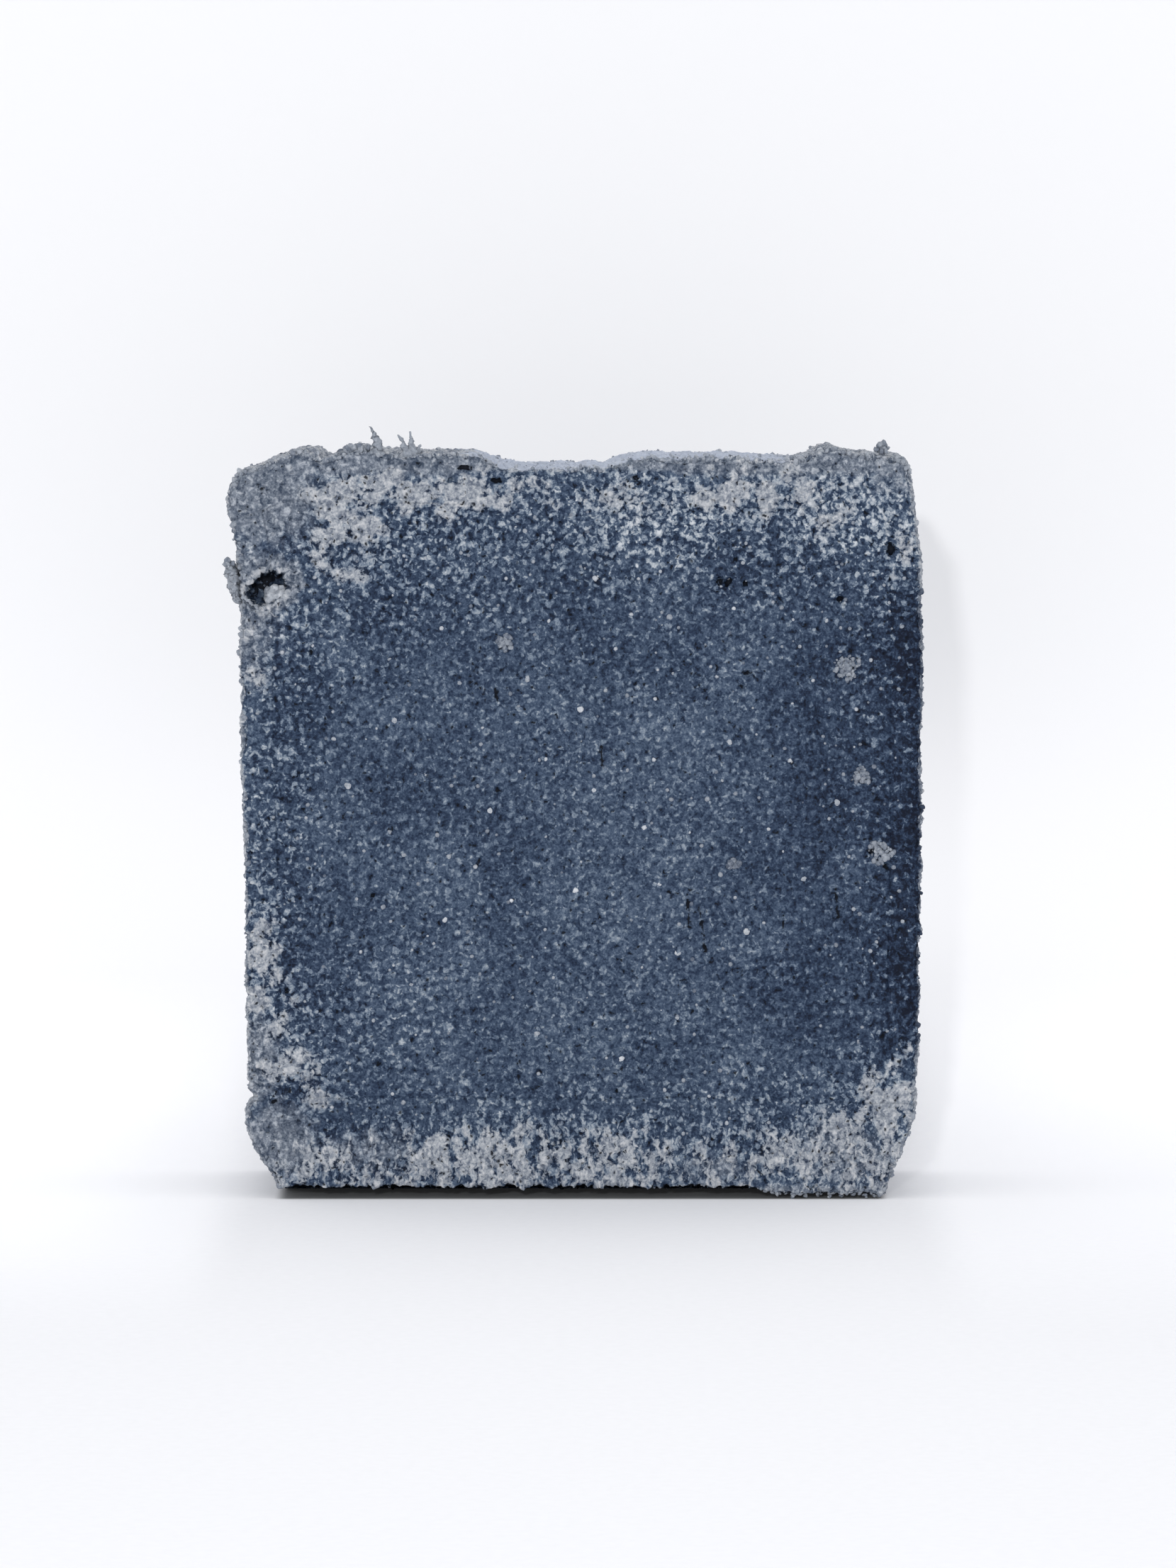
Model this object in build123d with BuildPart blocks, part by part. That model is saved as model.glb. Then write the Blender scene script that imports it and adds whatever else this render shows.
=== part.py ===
from build123d import *

import os
from math import cos, pi, sin

# Charcoal soap bar, cut from a poured loaf and standing on the loaf's moulded base.
#
# The bar is a slice of the loaf, so its layers run straight through from the front cut face to the
# back one: a dark gelled core inside a paler rind, which the mould and the air shaped. What else
# could be picked off with tweezers is on it too: the pale lump in the air pocket, the torn flap
# beside it, the slivers and crumbs that the cutting wire left, and the grains that it sliced.
#
# Millimetres. +X is to the right of the front face, -Y is the way the front face looks, +Z is up.
# The origin is on the base, in the middle of the bar's width and thickness.

# ---- driving dimensions -------------------------------------------------------------------------
bar_width = 70.0  # between the straight parts of the two sides
bar_height = 77.0  # to the mean level of the poured top
bar_thickness = 25.0  # between the two cut faces

half_width = bar_width / 2
half_thickness = bar_thickness / 2

top_rind_depth = 6.5  # how far the pale layer reaches in from the poured top
base_rind_depth = 9.8  # and up from the base, as far as the shoulder of the corner bevels
side_rind_depth = 3.0  # and in from the mould's sides
shoulder_height = 10.0  # where the side walls end and the corner bevels begin
bevel_width = 3.6  # how far a corner bevel comes in from the side
ledge_rise, ledge_depth = 1.0, 9.0  # the front bottom edge stands clear of the table, this far in
ledge_end = 20.0  # along the bar as far as here, where the crust hangs down to the table
worn_rise, worn_depth = 0.9, 3.0  # beyond it the edge is only worn

furrow_depth_front = 2.2  # the dip that runs through the poured top, at the front face
furrow_depth_back = 1.8  # and at the back face
furrow_left, furrow_right = -10.4, 5.2  # its two banks
furrow_bank = 2.6  # how wide each bank is

top_rind_seam = bar_height - top_rind_depth
left_inner = -half_width + side_rind_depth
right_inner = half_width - side_rind_depth

front = Plane.XZ.offset(half_thickness)
back = Plane.XZ.offset(-half_thickness)

# ---- the corners where three pieces meet, in the X-Z plane of the cut faces ----------------------
outer_top_left = (-half_width - 1.2, top_rind_seam)
outer_top_right = (half_width - 0.3, top_rind_seam)
outer_low_left = (-half_width + 1.5, shoulder_height)
outer_low_right = (half_width - 0.6, shoulder_height)
inner_top_left = (left_inner + 0.4, top_rind_seam - 0.4)
inner_top_right = (right_inner - 1.4, top_rind_seam - 0.6)
inner_low_left = (left_inner + 5.0, base_rind_depth - 0.4)
inner_low_right = (right_inner - 3.5, base_rind_depth + 0.8)

# ---- the air pocket beside the left edge, and what is in it --------------------------------------
pocket_x, pocket_z = -half_width + 3.0, 62.4
pocket_half_width, pocket_half_height, pocket_depth = 2.3, 2.4, 3.2
lump_radius = 1.55
lump_depth = 1.8  # from the cut face to the middle of the lump


def edge_between(*points):
    """A smooth edge through these points of the X-Z plane, for the line that is being built."""
    return Spline(*points)


def core_top():
    """The core's upper limit, which is also the underside of the top rind."""
    return edge_between(
        inner_top_left, (-16, top_rind_seam + 1.0), (-3, top_rind_seam - 0.4),
        (14, top_rind_seam + 0.8), inner_top_right,
    )


def core_bottom():
    """The core's lower limit, which is also the upper side of the base rind."""
    return edge_between(
        inner_low_left, (-13, base_rind_depth - 1.9), (4, base_rind_depth - 1.0),
        (17, base_rind_depth - 2.2), inner_low_right,
    )


def core_left():
    """The core's left limit. It passes to the right of the air pocket, which is all in the rind."""
    return edge_between(
        inner_low_left, (left_inner + 1.2, 22), (left_inner + 0.2, 36), (left_inner - 0.2, 48),
        (left_inner + 1.6, 56.5), (left_inner + 3.4, pocket_z), inner_top_left,
    )


def core_right():
    """The core's right limit."""
    return edge_between(
        inner_low_right, (right_inner + 0.6, 24), (right_inner + 1.2, 42), inner_top_right
    )


def side_left():
    """The left wall, as the mould and handling left it: nearly upright, and fuller at the top."""
    return edge_between(
        outer_low_left, (-half_width + 0.7, 11.6), (-half_width + 0.6, 17), (-half_width + 0.1, 28),
        (-half_width - 0.1, 46), (-half_width - 0.2, 58), outer_top_left,
    )


def side_right():
    """The right wall."""
    return edge_between(
        outer_low_right, (half_width - 0.3, 16), (half_width, 30), (half_width + 0.2, 52),
        (half_width + 0.3, 60), outer_top_right,
    )


def poured_top():
    """The upper edge of the slice: rounded shoulders, two low swells, and the furrow's dip."""
    floor = bar_height - furrow_depth_back
    return edge_between(
        outer_top_left, (-half_width - 1.5, 73.0), (-half_width - 0.3, 75.0), (-31.5, 76.5),
        (-24, bar_height + 0.8), (-17, bar_height + 0.1), (furrow_left, bar_height - 0.1),
        (furrow_left + furrow_bank, floor + 0.3), (-2.5, floor),
        (furrow_right - furrow_bank, floor + 0.2), (furrow_right, bar_height - 0.3),
        (13, bar_height + 0.2), (20.5, bar_height - 0.2), (25.4, bar_height + 0.7),
        (31, bar_height), (33.9, 75.4), (34.6, 73.2), outer_top_right,
    )


def ball(radius, x, y, z):
    """A round grain or crumb, made apart from the piece that is being built."""
    return Pos(x, y, z) * Sphere(radius)


def scattered(count, spread_x, spread_z, middle_x, middle_z, first):
    """Places spread evenly but without a pattern, by the golden angle and its fraction."""
    golden = pi * (3 - 5**0.5)
    for n in range(first, first + count):
        reach = ((n - first + 0.5) / count) ** 0.5
        yield (
            middle_x + spread_x * reach * cos(n * golden),
            middle_z + spread_z * reach * sin(n * golden),
            n,
        )


# ---- grains in the cut faces ---------------------------------------------------------------------
grain_count = 48  # pale grains that show clearly in one cut face
grain_radii = (0.30, 0.42, 0.34, 0.50)  # they repeat in this order
grain_reach_x, grain_reach_z = 27.0, 26.0
grain_middle_z = 40.0


def sliced_grains(face_side, first):
    """The grains in one cut face, each cut off flush with it. face_side is -1 for the front."""
    inside = Box(bar_width, bar_thickness, bar_height * 2, mode=Mode.PRIVATE)
    grains = []
    for x, z, n in scattered(grain_count, grain_reach_x, grain_reach_z, 0.5, grain_middle_z, first):
        radius = grain_radii[n % len(grain_radii)]
        y = face_side * (half_thickness - 0.35 * radius)
        grains.append(ball(radius, x, y, z) & inside)
    return grains


front_grain_solids = sliced_grains(-1, 11)
back_grain_solids = sliced_grains(1, 74)

with BuildPart() as front_grains:
    for solid in front_grain_solids:
        add(solid)
front_grains.part.label = "front_grains"

with BuildPart() as back_grains:
    for solid in back_grain_solids:
        add(solid)
back_grains.part.label = "back_grains"

# ---- ash patches: thin scabs that stand on the front face, most of them at the right ---------------
patch_rise = 0.25
patch_sink = 0.3
patch_places = (  # x, z, half width, half height, turn
    (27.4, 55.2, 1.5, 1.1, 20),
    (31.0, 36.0, 1.3, 1.6, -30),
    (28.9, 44.0, 0.9, 0.7, 10),
    (15.8, 34.9, 0.7, 0.5, -15),
    (-7.9, 57.8, 0.8, 2.0, -12),
)

with BuildPart() as ash_patches:
    for x, z, wide, high, turn in patch_places:
        with BuildSketch(front.offset(-patch_sink)):
            with Locations(Location((x, z), turn)):
                Ellipse(wide, high)
        extrude(amount=patch_sink + patch_rise)
ash_patches.part.label = "ash_patches"

# ---- what stands on the poured top ------------------------------------------------------------------
burr_y = -half_thickness + 0.8  # the slivers stand just behind the front edge
burr_seat = 0.5  # how deep each is rooted in the rind

with BuildPart() as tall_burr:
    with BuildSketch(Plane.XY.offset(bar_height + 0.75 - burr_seat)):
        with Locations((-21.2, burr_y)):
            Rectangle(0.75, 0.55)
    with BuildSketch(Plane.XY.offset(bar_height + 1.6)):
        with Locations((-21.35, burr_y)):
            Rectangle(0.6, 0.4)
    with BuildSketch(Plane.XY.offset(bar_height + 2.8)):
        with Locations((-21.85, burr_y)):
            Rectangle(0.4, 0.3)
    loft()
tall_burr.part.label = "tall_burr"

with BuildPart() as forked_burr:
    with BuildSketch(front.offset(-0.6)):
        with BuildLine():
            Polyline(
                (-18.6, bar_height - 0.1), (-18.2, bar_height + 0.8), (-18.75, bar_height + 2.1),
                (-17.7, bar_height + 1.25), (-17.5, bar_height + 2.2), (-17.2, bar_height + 1.2),
                (-16.2, bar_height - 0.1), close=True,
            )
        make_face()
    extrude(amount=-0.5)
forked_burr.part.label = "forked_burr"

stub_places = (  # x, height over the mean level, half width at the foot
    (-27.6, 1.2, 0.5), (-24.0, 1.5, 0.7), (-19.7, 0.9, 0.32), (-14.6, 0.8, 0.42), (21.9, 0.5, 0.4),
)
with BuildPart() as burr_stubs:
    for x, rise, half in stub_places:
        with Locations((x, burr_y + 0.3, bar_height + rise - 0.8)):
            Cone(half, half * 0.45, 1.6)
burr_stubs.part.label = "burr_stubs"

crumb_x, crumb_z = 30.9, bar_height + 1.05
crumb_solids = [
    ball(0.62, crumb_x - 0.35, burr_y + 0.35, crumb_z + 0.05),
    ball(0.5, crumb_x + 0.45, burr_y + 0.3, crumb_z - 0.05),
    ball(0.45, crumb_x + 0.05, burr_y + 0.3, crumb_z - 0.7),
]
with BuildPart() as perched_crumb:
    for solid in crumb_solids:
        add(solid)
perched_crumb.part.label = "perched_crumb"

# ---- crumbs that hang from the worn front edge of the base and reach the table ----------------------
foot_crumb_sizes = (0.46, 0.34, 0.52, 0.40, 0.30, 0.48, 0.36, 0.42)
foot_crumb_start, foot_crumb_pitch = 22.1, 1.22
foot_crumb_solids = [
    ball(r, foot_crumb_start + n * foot_crumb_pitch, -half_thickness + 0.55 + 0.25 * (n % 3), r)
    for n, r in enumerate(foot_crumb_sizes)
]
with BuildPart() as foot_crumbs:
    for solid in foot_crumb_solids:
        add(solid)
foot_crumbs.part.label = "foot_crumbs"

# ---- the air pocket, as the hollow to be cut from the rind ------------------------------------------
with BuildPart() as air_pocket:
    with BuildSketch(front):
        with BuildLine():
            Polyline(
                (pocket_x - pocket_half_width, pocket_z - 0.2),
                (pocket_x - 0.9, pocket_z + 1.6),
                (pocket_x + 0.8, pocket_z + pocket_half_height),
                (pocket_x + 1.9, pocket_z + 2.2),
                (pocket_x + pocket_half_width, pocket_z - 0.4),
                (pocket_x + 1.0, pocket_z - pocket_half_height),
                (pocket_x - 0.5, pocket_z - 1.7), close=True,
            )
        make_face()
    extrude(amount=-pocket_depth, taper=14)

with BuildPart() as cavity_lump:
    with Locations((pocket_x + 0.65, -half_thickness + lump_depth, pocket_z - 0.4)):
        Sphere(lump_radius)
    add(air_pocket.part, mode=Mode.INTERSECT)
cavity_lump.part.label = "cavity_lump"

# ---- the torn flap that stands out of the left wall beside the pocket ----------------------------
flap_top, flap_foot = 65.8, 62.2
flap_out = 1.35
with BuildPart() as torn_flap:
    with BuildSketch(front.offset(-0.2)):
        with BuildLine():
            Polyline(
                (-half_width + 0.5, flap_top - 0.1), (-half_width - flap_out, flap_top),
                (-half_width - flap_out - 0.15, flap_top - 0.7), (-half_width - 1.15, flap_foot + 1.6),
                (-half_width - 0.85, flap_foot), (-half_width - 0.3, flap_foot + 0.5),
                (-half_width + 0.5, flap_foot + 0.3), close=True,
            )
        make_face()
    extrude(amount=-5.5, taper=2)
torn_flap.part.label = "torn_flap"

with BuildPart() as flap_knob:
    with Locations((-half_width - 1.4, -half_thickness + 0.9, flap_top - 0.25)):
        Sphere(0.62)
    add(torn_flap.part, mode=Mode.SUBTRACT)
flap_knob.part.label = "flap_knob"

# ---- the four parts of the rind, and the core ---------------------------------------------------
with BuildPart() as left_rind:
    with BuildSketch(front):
        with BuildLine():
            side_left()
            core_left()
            Line(outer_low_left, inner_low_left)
            Line(outer_top_left, inner_top_left)
        make_face()
    extrude(amount=-bar_thickness)
    add(air_pocket.part, mode=Mode.SUBTRACT)
    add(torn_flap.part, mode=Mode.SUBTRACT)
left_rind.part.label = "left_rind"

with BuildPart() as right_rind:
    with BuildSketch(front):
        with BuildLine():
            side_right()
            core_right()
            Line(outer_low_right, inner_low_right)
            Line(outer_top_right, inner_top_right)
        make_face()
    extrude(amount=-bar_thickness)
    for x, z, radius in ((31.9, 67.5, 0.45),):
        with Locations((x, -half_thickness, z)):
            Sphere(radius, mode=Mode.SUBTRACT)
    add(ash_patches.part, mode=Mode.SUBTRACT)
right_rind.part.label = "right_rind"

with BuildPart() as base_rind:
    with BuildSketch(front):
        with BuildLine():
            core_bottom()
            Line(outer_low_left, inner_low_left)
            Line(outer_low_right, inner_low_right)
            edge_between(
                outer_low_left, (-half_width + 0.6, 8.6), (-half_width + 0.6, 6.8),
                (-half_width + 1.9, 4.0), (-half_width + bevel_width, 0),
            )
            edge_between(
                outer_low_right, (half_width - 1.1, 7.2), (half_width - 2.2, 4.2),
                (half_width - bevel_width, 0),
            )
            Line((-half_width + bevel_width, 0), (half_width - bevel_width, 0))
        make_face()
    extrude(amount=-bar_thickness)
    for start, stop, rise, depth in (
        (-half_width, ledge_end, ledge_rise, ledge_depth),
        (ledge_end, half_width, worn_rise, worn_depth),
    ):
        with BuildSketch(Plane.YZ.offset(start)):
            with BuildLine():
                Polyline(
                    (-half_thickness, 0), (-half_thickness, rise), (-half_thickness + depth, 0),
                    close=True,
                )
            make_face()
        extrude(amount=stop - start, mode=Mode.SUBTRACT)
    for solid in foot_crumb_solids:
        add(solid, mode=Mode.SUBTRACT)
base_rind.part.label = "base_rind"

with BuildPart() as top_rind:
    with BuildSketch(front):
        with BuildLine():
            poured_top()
            core_top()
            Line(outer_top_left, inner_top_left)
            Line(outer_top_right, inner_top_right)
        make_face()
    extrude(amount=-bar_thickness)
    # The furrow gets deeper towards the front: a wedge comes out of its floor.
    with BuildSketch(Plane.YZ.offset(furrow_left + 0.8 * furrow_bank)):
        with BuildLine():
            Polyline(
                (-half_thickness, bar_height - furrow_depth_front),
                (half_thickness, bar_height - furrow_depth_back),
                (-half_thickness, bar_height + 1), close=True,
            )
        make_face()
    extrude(amount=furrow_right - furrow_left - 1.6 * furrow_bank, mode=Mode.SUBTRACT)
    for piece in (tall_burr.part, forked_burr.part, burr_stubs.part, *crumb_solids):
        add(piece, mode=Mode.SUBTRACT)
top_rind.part.label = "top_rind"

pits = (  # x, z, radius: pores that the cut opened
    (14.6, 64.1, 0.42), (15.5, 64.3, 0.34), (16.8, 64.0, 0.24),
    (24.4, 65.6, 0.28), (17.0, 54.4, 0.34), (6.5, 20.4, 0.25),
)
with BuildPart() as core:
    with BuildSketch(front):
        with BuildLine():
            core_top()
            core_bottom()
            core_left()
            core_right()
        make_face()
    extrude(amount=-bar_thickness)
    for x, z, radius in pits:
        with Locations((x, -half_thickness, z)):
            Sphere(radius, mode=Mode.SUBTRACT)
    add(ash_patches.part, mode=Mode.SUBTRACT)
    for solid in (*front_grain_solids, *back_grain_solids):
        add(solid, mode=Mode.SUBTRACT)
core.part.label = "core"

# ---- one STEP file for each piece ---------------------------------------------------------------
os.makedirs("parts", exist_ok=True)
for piece in (
    core, top_rind, base_rind, left_rind, right_rind, cavity_lump, torn_flap, flap_knob,
    tall_burr, forked_burr, burr_stubs, perched_crumb, foot_crumbs, ash_patches,
    front_grains, back_grains,
):
    export_step(piece.part, f"parts/{piece.part.label}.step")
    print(piece.part.label, len(piece.part.solids()), "solids,", round(piece.part.volume, 2), "mm3")
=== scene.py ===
# %% [markdown]
# # A bar of charcoal soap
#
# This lesson dresses a plain CAD model of a soap bar until it looks like the real thing. The bar is
# a slice of a poured loaf. Its two big faces were cut with a wire, so they show what the soap is
# made of: a dark slate-blue core, full of pale granules, inside a paler and more porous rind.
#
# The CAD model is the frame: it gives the main sizes and places, and Blender adds what the eye
# wants to see on top of it. So the first step is to load it and to measure it.

# %% Load the frame
from math import cos, pi, radians, sin

import bmesh
import bpy
import numpy as np
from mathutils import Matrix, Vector, noise


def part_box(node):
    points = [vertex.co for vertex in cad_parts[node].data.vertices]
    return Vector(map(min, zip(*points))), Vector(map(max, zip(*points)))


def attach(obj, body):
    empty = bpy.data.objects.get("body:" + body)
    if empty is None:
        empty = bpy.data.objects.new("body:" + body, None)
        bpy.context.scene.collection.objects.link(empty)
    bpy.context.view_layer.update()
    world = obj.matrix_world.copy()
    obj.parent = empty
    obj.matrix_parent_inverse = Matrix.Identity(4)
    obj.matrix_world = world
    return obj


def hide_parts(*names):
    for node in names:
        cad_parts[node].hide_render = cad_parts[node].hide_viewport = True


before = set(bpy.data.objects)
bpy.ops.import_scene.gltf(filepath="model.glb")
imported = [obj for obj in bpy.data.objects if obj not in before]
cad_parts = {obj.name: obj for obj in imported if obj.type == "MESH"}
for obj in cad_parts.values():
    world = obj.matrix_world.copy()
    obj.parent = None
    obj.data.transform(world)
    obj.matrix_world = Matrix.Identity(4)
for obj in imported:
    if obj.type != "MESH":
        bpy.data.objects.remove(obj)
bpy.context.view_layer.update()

MM = 0.001  # everything below is worked out in millimetres, and Blender wants metres
IN_MM = (1 / MM,) * 3  # turns a place in metres into millimetres


# %% [markdown]
# ## The sizes that the rest hangs on
#
# A script that reads its sizes from the frame keeps fitting when the frame changes. The seams
# between the rind and the core are taken from the boxes of the CAD pieces.

# %% Measure the bar
def corners(node):
    """The lowest and the highest corner of a CAD piece, in millimetres."""
    lowest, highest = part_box(node)
    return np.array(lowest) / MM, np.array(highest) / MM


half_thickness = corners("core")[1][1]
half_width = 0.5 * (corners("base_rind")[1][0] - corners("base_rind")[0][0])
bar_width, bar_height, bar_thickness = 70.0, 77.0, 25.0
shoulder_height = corners("left_rind")[0][2]
top_seam_height = corners("left_rind")[1][2]
print("half width", half_width, "half thickness", half_thickness, "shoulder", shoulder_height)


# %% [markdown]
# ## The outline of the slice
#
# The mould made the two walls and the base, and the air shaped the top, so the outline is four
# curves with four characters: two nearly straight walls that turn in at the foot, a flat base, and
# a rolling top. Each is a short list of points, X and Z in millimetres, with a smooth curve through
# them. The furrow in the top is a formula, because it runs through the bar and gets shallower.

# %% Four curves
left_wall = [
    (-31.0, 0.0), (-32.2, 2.2), (-33.4, 4.2), (-34.5, 6.5), (-34.45, 8.4), (-33.6, 9.9),
    (-34.2, 11.0), (-34.4, 16.0), (-34.5, 23.0), (-34.6, 28.0), (-34.5, 31.5), (-34.7, 40.0),
    (-34.95, 50.5), (-34.9, 55.0), (-35.0, 62.0), (-35.3, 67.0), (-36.05, 70.3), (-36.3, 72.0),
    (-35.9, 73.8), (-35.0, 75.0),
]
right_wall = [
    (31.3, 0.0), (32.1, 2.7), (33.1, 4.8), (34.3, 7.6), (34.5, 10.5), (34.8, 15.0), (34.85, 24.0),
    (35.05, 36.0), (35.0, 47.5), (35.1, 58.0), (34.9, 63.0), (34.5, 68.5), (34.05, 72.0),
    (33.8, 74.6), (33.4, 76.0),
]
poured_level = [
    (-35.0, 75.0), (-33.8, 75.3), (-31.3, 76.35), (-29.2, 77.1), (-27.8, 77.0), (-26.2, 76.4),
    (-23.4, 77.4), (-20.5, 76.95), (-15.0, 76.85), (-10.5, 76.75), (-3.0, 76.6), (5.2, 76.75),
    (9.9, 76.5), (13.0, 76.55), (16.2, 76.5), (20.6, 76.25), (23.4, 76.55), (25.4, 77.5),
    (27.6, 76.9), (31.0, 76.6), (32.6, 76.5), (33.4, 76.0),
]
# The curves are drawn for a top at bar_height, and the top stands a little higher than that.
stood_height = 77.45
left_wall, right_wall, poured_level = (
    np.array(curve) * (1, stood_height / bar_height) for curve in (left_wall, right_wall, poured_level)
)


def through(points, share):
    """Points on a smooth curve through these, at the given shares of its length, from 0 to 1."""
    points = np.array(points, float)
    before = np.vstack([2 * points[:1] - points[1:2], points[:-1]])
    after = np.vstack([points[1:], 2 * points[-1:] - points[-2:-1]])
    lean = (after - before) / 2
    steps = np.linalg.norm(np.diff(points, axis=0), axis=1)
    reach = np.concatenate([[0], np.cumsum(steps)]) / steps.sum()
    here = np.clip(np.searchsorted(reach, share, side="right") - 1, 0, len(points) - 2)
    t = ((share - reach[here]) / (reach[here + 1] - reach[here]))[:, None]
    return (
        (2 * t**3 - 3 * t**2 + 1) * points[here]
        + (t**3 - 2 * t**2 + t) * lean[here]
        + (3 * t**2 - 2 * t**3) * points[here + 1]
        + (t**3 - t**2) * lean[here + 1]
    )


def smooth_step(low, high, value):
    """0 below low, 1 above high, and a soft rise between them."""
    t = np.clip((value - low) / (high - low), 0, 1)
    return t * t * (3 - 2 * t)


print("wall points:", len(left_wall), "left,", len(right_wall), "right")


# %% [markdown]
# ## A skin of small squares
#
# The relief of cut soap is finer than any CAD face, so the bar gets a skin of squares about a fifth
# of a millimetre wide. Think of the bar as a stack of lattice points, numbered across, up and
# through. Only the points on the outside become vertices. Because the numbering is so regular, the
# skin can later be cut along lattice lines into the pieces of the frame without leaving a gap.

# %% Number the lattice
square = 0.2
across, up, through_bar = (round(size / square) for size in (bar_width, bar_height, bar_thickness))
lattice = np.full((across + 1, up + 1, through_bar + 1), -1, np.int32)
for side in (0, -1):
    lattice[side] = lattice[:, side] = lattice[:, :, side] = 0
skin = np.argwhere(lattice == 0)
lattice[tuple(skin.T)] = np.arange(len(skin))
print("lattice points on the skin:", len(skin))

# %% [markdown]
# ## From lattice to slice
#
# A Coons patch fills an outline: a point takes its place from the two walls, then from the top and
# the base, and what was counted twice is taken off. The bottom front edge is worn, so the base
# curve starts a millimetre up and comes down to the table eight millimetres in. At its right end the
# crust hangs down nearly to the table.

# %% Place every lattice point
furrow_left, furrow_right, furrow_bank = -11.6, 6.6, 4.6
furrow_front, furrow_back = 1.25, 1.1
ledge_rise, ledge_depth = 1.05, 8.0


def ragged(x, seed, size):
    """A jagged line along the bar, for an edge that crumbled: values around 0, up to about 1."""
    return np.array([
        0.7 * noise.noise((v / size, seed, 0)) + 0.5 * noise.noise((v / size * 2.7, seed, 5))
        for v in np.ravel(x)
    ]).reshape(np.shape(x))


def furrow(x):
    """How far into the furrow a place is: 0 on the banks, 1 on its floor, with a low step in it."""
    floor = smooth_step(furrow_left, furrow_left + furrow_bank, x)
    floor *= 1 - smooth_step(furrow_right - furrow_bank, furrow_right, x)
    return floor * (1 - 0.12 * np.exp(-(((x - 0.2) / 1.1) ** 2)))


shares = [np.arange(n + 1) / n for n in (across, up, through_bar)]
left_curve, right_curve = through(left_wall, shares[1]), through(right_wall, shares[1])
top_curve = through(poured_level, shares[0])
base_curve = np.stack([np.linspace(left_wall[0][0], right_wall[0][0], across + 1), np.zeros(across + 1)], 1)
edge_wear = 1 + 0.45 * ragged(base_curve[:, 0], 3, 1.3)
ledge_span = 1 - 0.75 * smooth_step(17.5, 20.5, base_curve[:, 0])
furrow_line = furrow(top_curve[:, 0])


def place(i, j, depth_share):
    """X and Z of the lattice points in column i and row j, at this share of the thickness."""
    u, v = i[:, None] / across, j[:, None] / up
    top = top_curve[i].copy()
    top[:, 1] -= furrow_line[i] * (furrow_front + (furrow_back - furrow_front) * depth_share)
    top[:, 1] -= 0.25 + 0.45 * depth_share
    base = base_curve[i].copy()
    worn = ledge_rise * (1 - smooth_step(0.8, 1.0, depth_share * 2 * half_thickness / ledge_depth))
    worn = worn * ledge_span[i]
    base[:, 1] += worn * edge_wear[i]
    low_left, low_right = left_curve[0], right_curve[0]
    high_left, high_right = left_curve[-1], right_curve[-1]
    corner_mix = (1 - u) * (1 - v) * low_left + u * (1 - v) * low_right + (1 - u) * v * high_left
    corner_mix += u * v * high_right
    return (1 - u) * left_curve[j] + u * right_curve[j] + (1 - v) * base + v * top - corner_mix


i, j, k = skin.T
depth_share = k / through_bar
flat = place(i, j, depth_share)
print("the slice is", np.ptp(flat[:, 0]).round(2), "mm wide and", np.ptp(flat[:, 1]).round(2), "high")

# %% [markdown]
# ## Rounded edges, the air pocket and the pits
#
# A wire leaves an edge sharp, and handling rounds it, so the last half millimetre before an edge turns in
# along an arc. The air pocket near the left wall and the open pores are hollows in the front face: each
# pushes the skin inwards. The pores are dark, and the air pocket, darkest up left, and the gap under the
# front edge are painted dark as well: painted shade.

# %% Shape the edges and the hollows
edge_round = 0.55
margin = max(1, round(edge_round / square))
inner = place(np.clip(i, margin, across - margin), np.clip(j, margin, up - margin), depth_share)
from_outline = np.minimum.reduce([i, across - i, j, up - j]) * square
from_face = np.minimum(k, through_bar - k) * square


def turn_in(distance):
    """How far an edge has turned in, as a share of its radius, this far away from it."""
    return 1 - np.cos(radians(45) * np.clip(1 - distance / edge_round, 0, 1))


on_face = (k == 0) | (k == through_bar)
outward = np.where(k == 0, -1.0, 1.0)
flat += (inner - flat) * turn_in(from_face)[:, None]
x, z = flat.T
y = -half_thickness + depth_share * 2 * half_thickness
y -= np.where(on_face, outward, 0) * edge_round * turn_in(from_outline)

pocket_x, pocket_z = (corners("cavity_lump")[0] + corners("cavity_lump")[1])[[0, 2]] / 2
pocket_x, pocket_z = pocket_x - 1.0, pocket_z + 1.35  # the lump lies low and to the right in it
pocket_depth = 3.0
around = np.arctan2(z - pocket_z, x - pocket_x)
pocket_reach = 1.95 + 0.42 * np.cos(2 * (around - radians(38))) + 0.10 * np.cos(3 * around + 0.6)
pocket_reach += 0.12 * np.sin(11 * around) + 0.09 * np.sin(17 * around + 1.0)
pocket_distance = np.hypot(x - pocket_x, z - pocket_z) / pocket_reach
front = k == 0


def oval(spot_x, spot_z, wide, high):
    """1 in the middle of an oval on the face, and fading to 0 around it."""
    return np.exp(-(((x - spot_x) / wide) ** 2) - ((z - spot_z) / high) ** 2)


y += np.where(front, pocket_depth * (1 - smooth_step(0.78, 1.04, pocket_distance)), 0)

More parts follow.
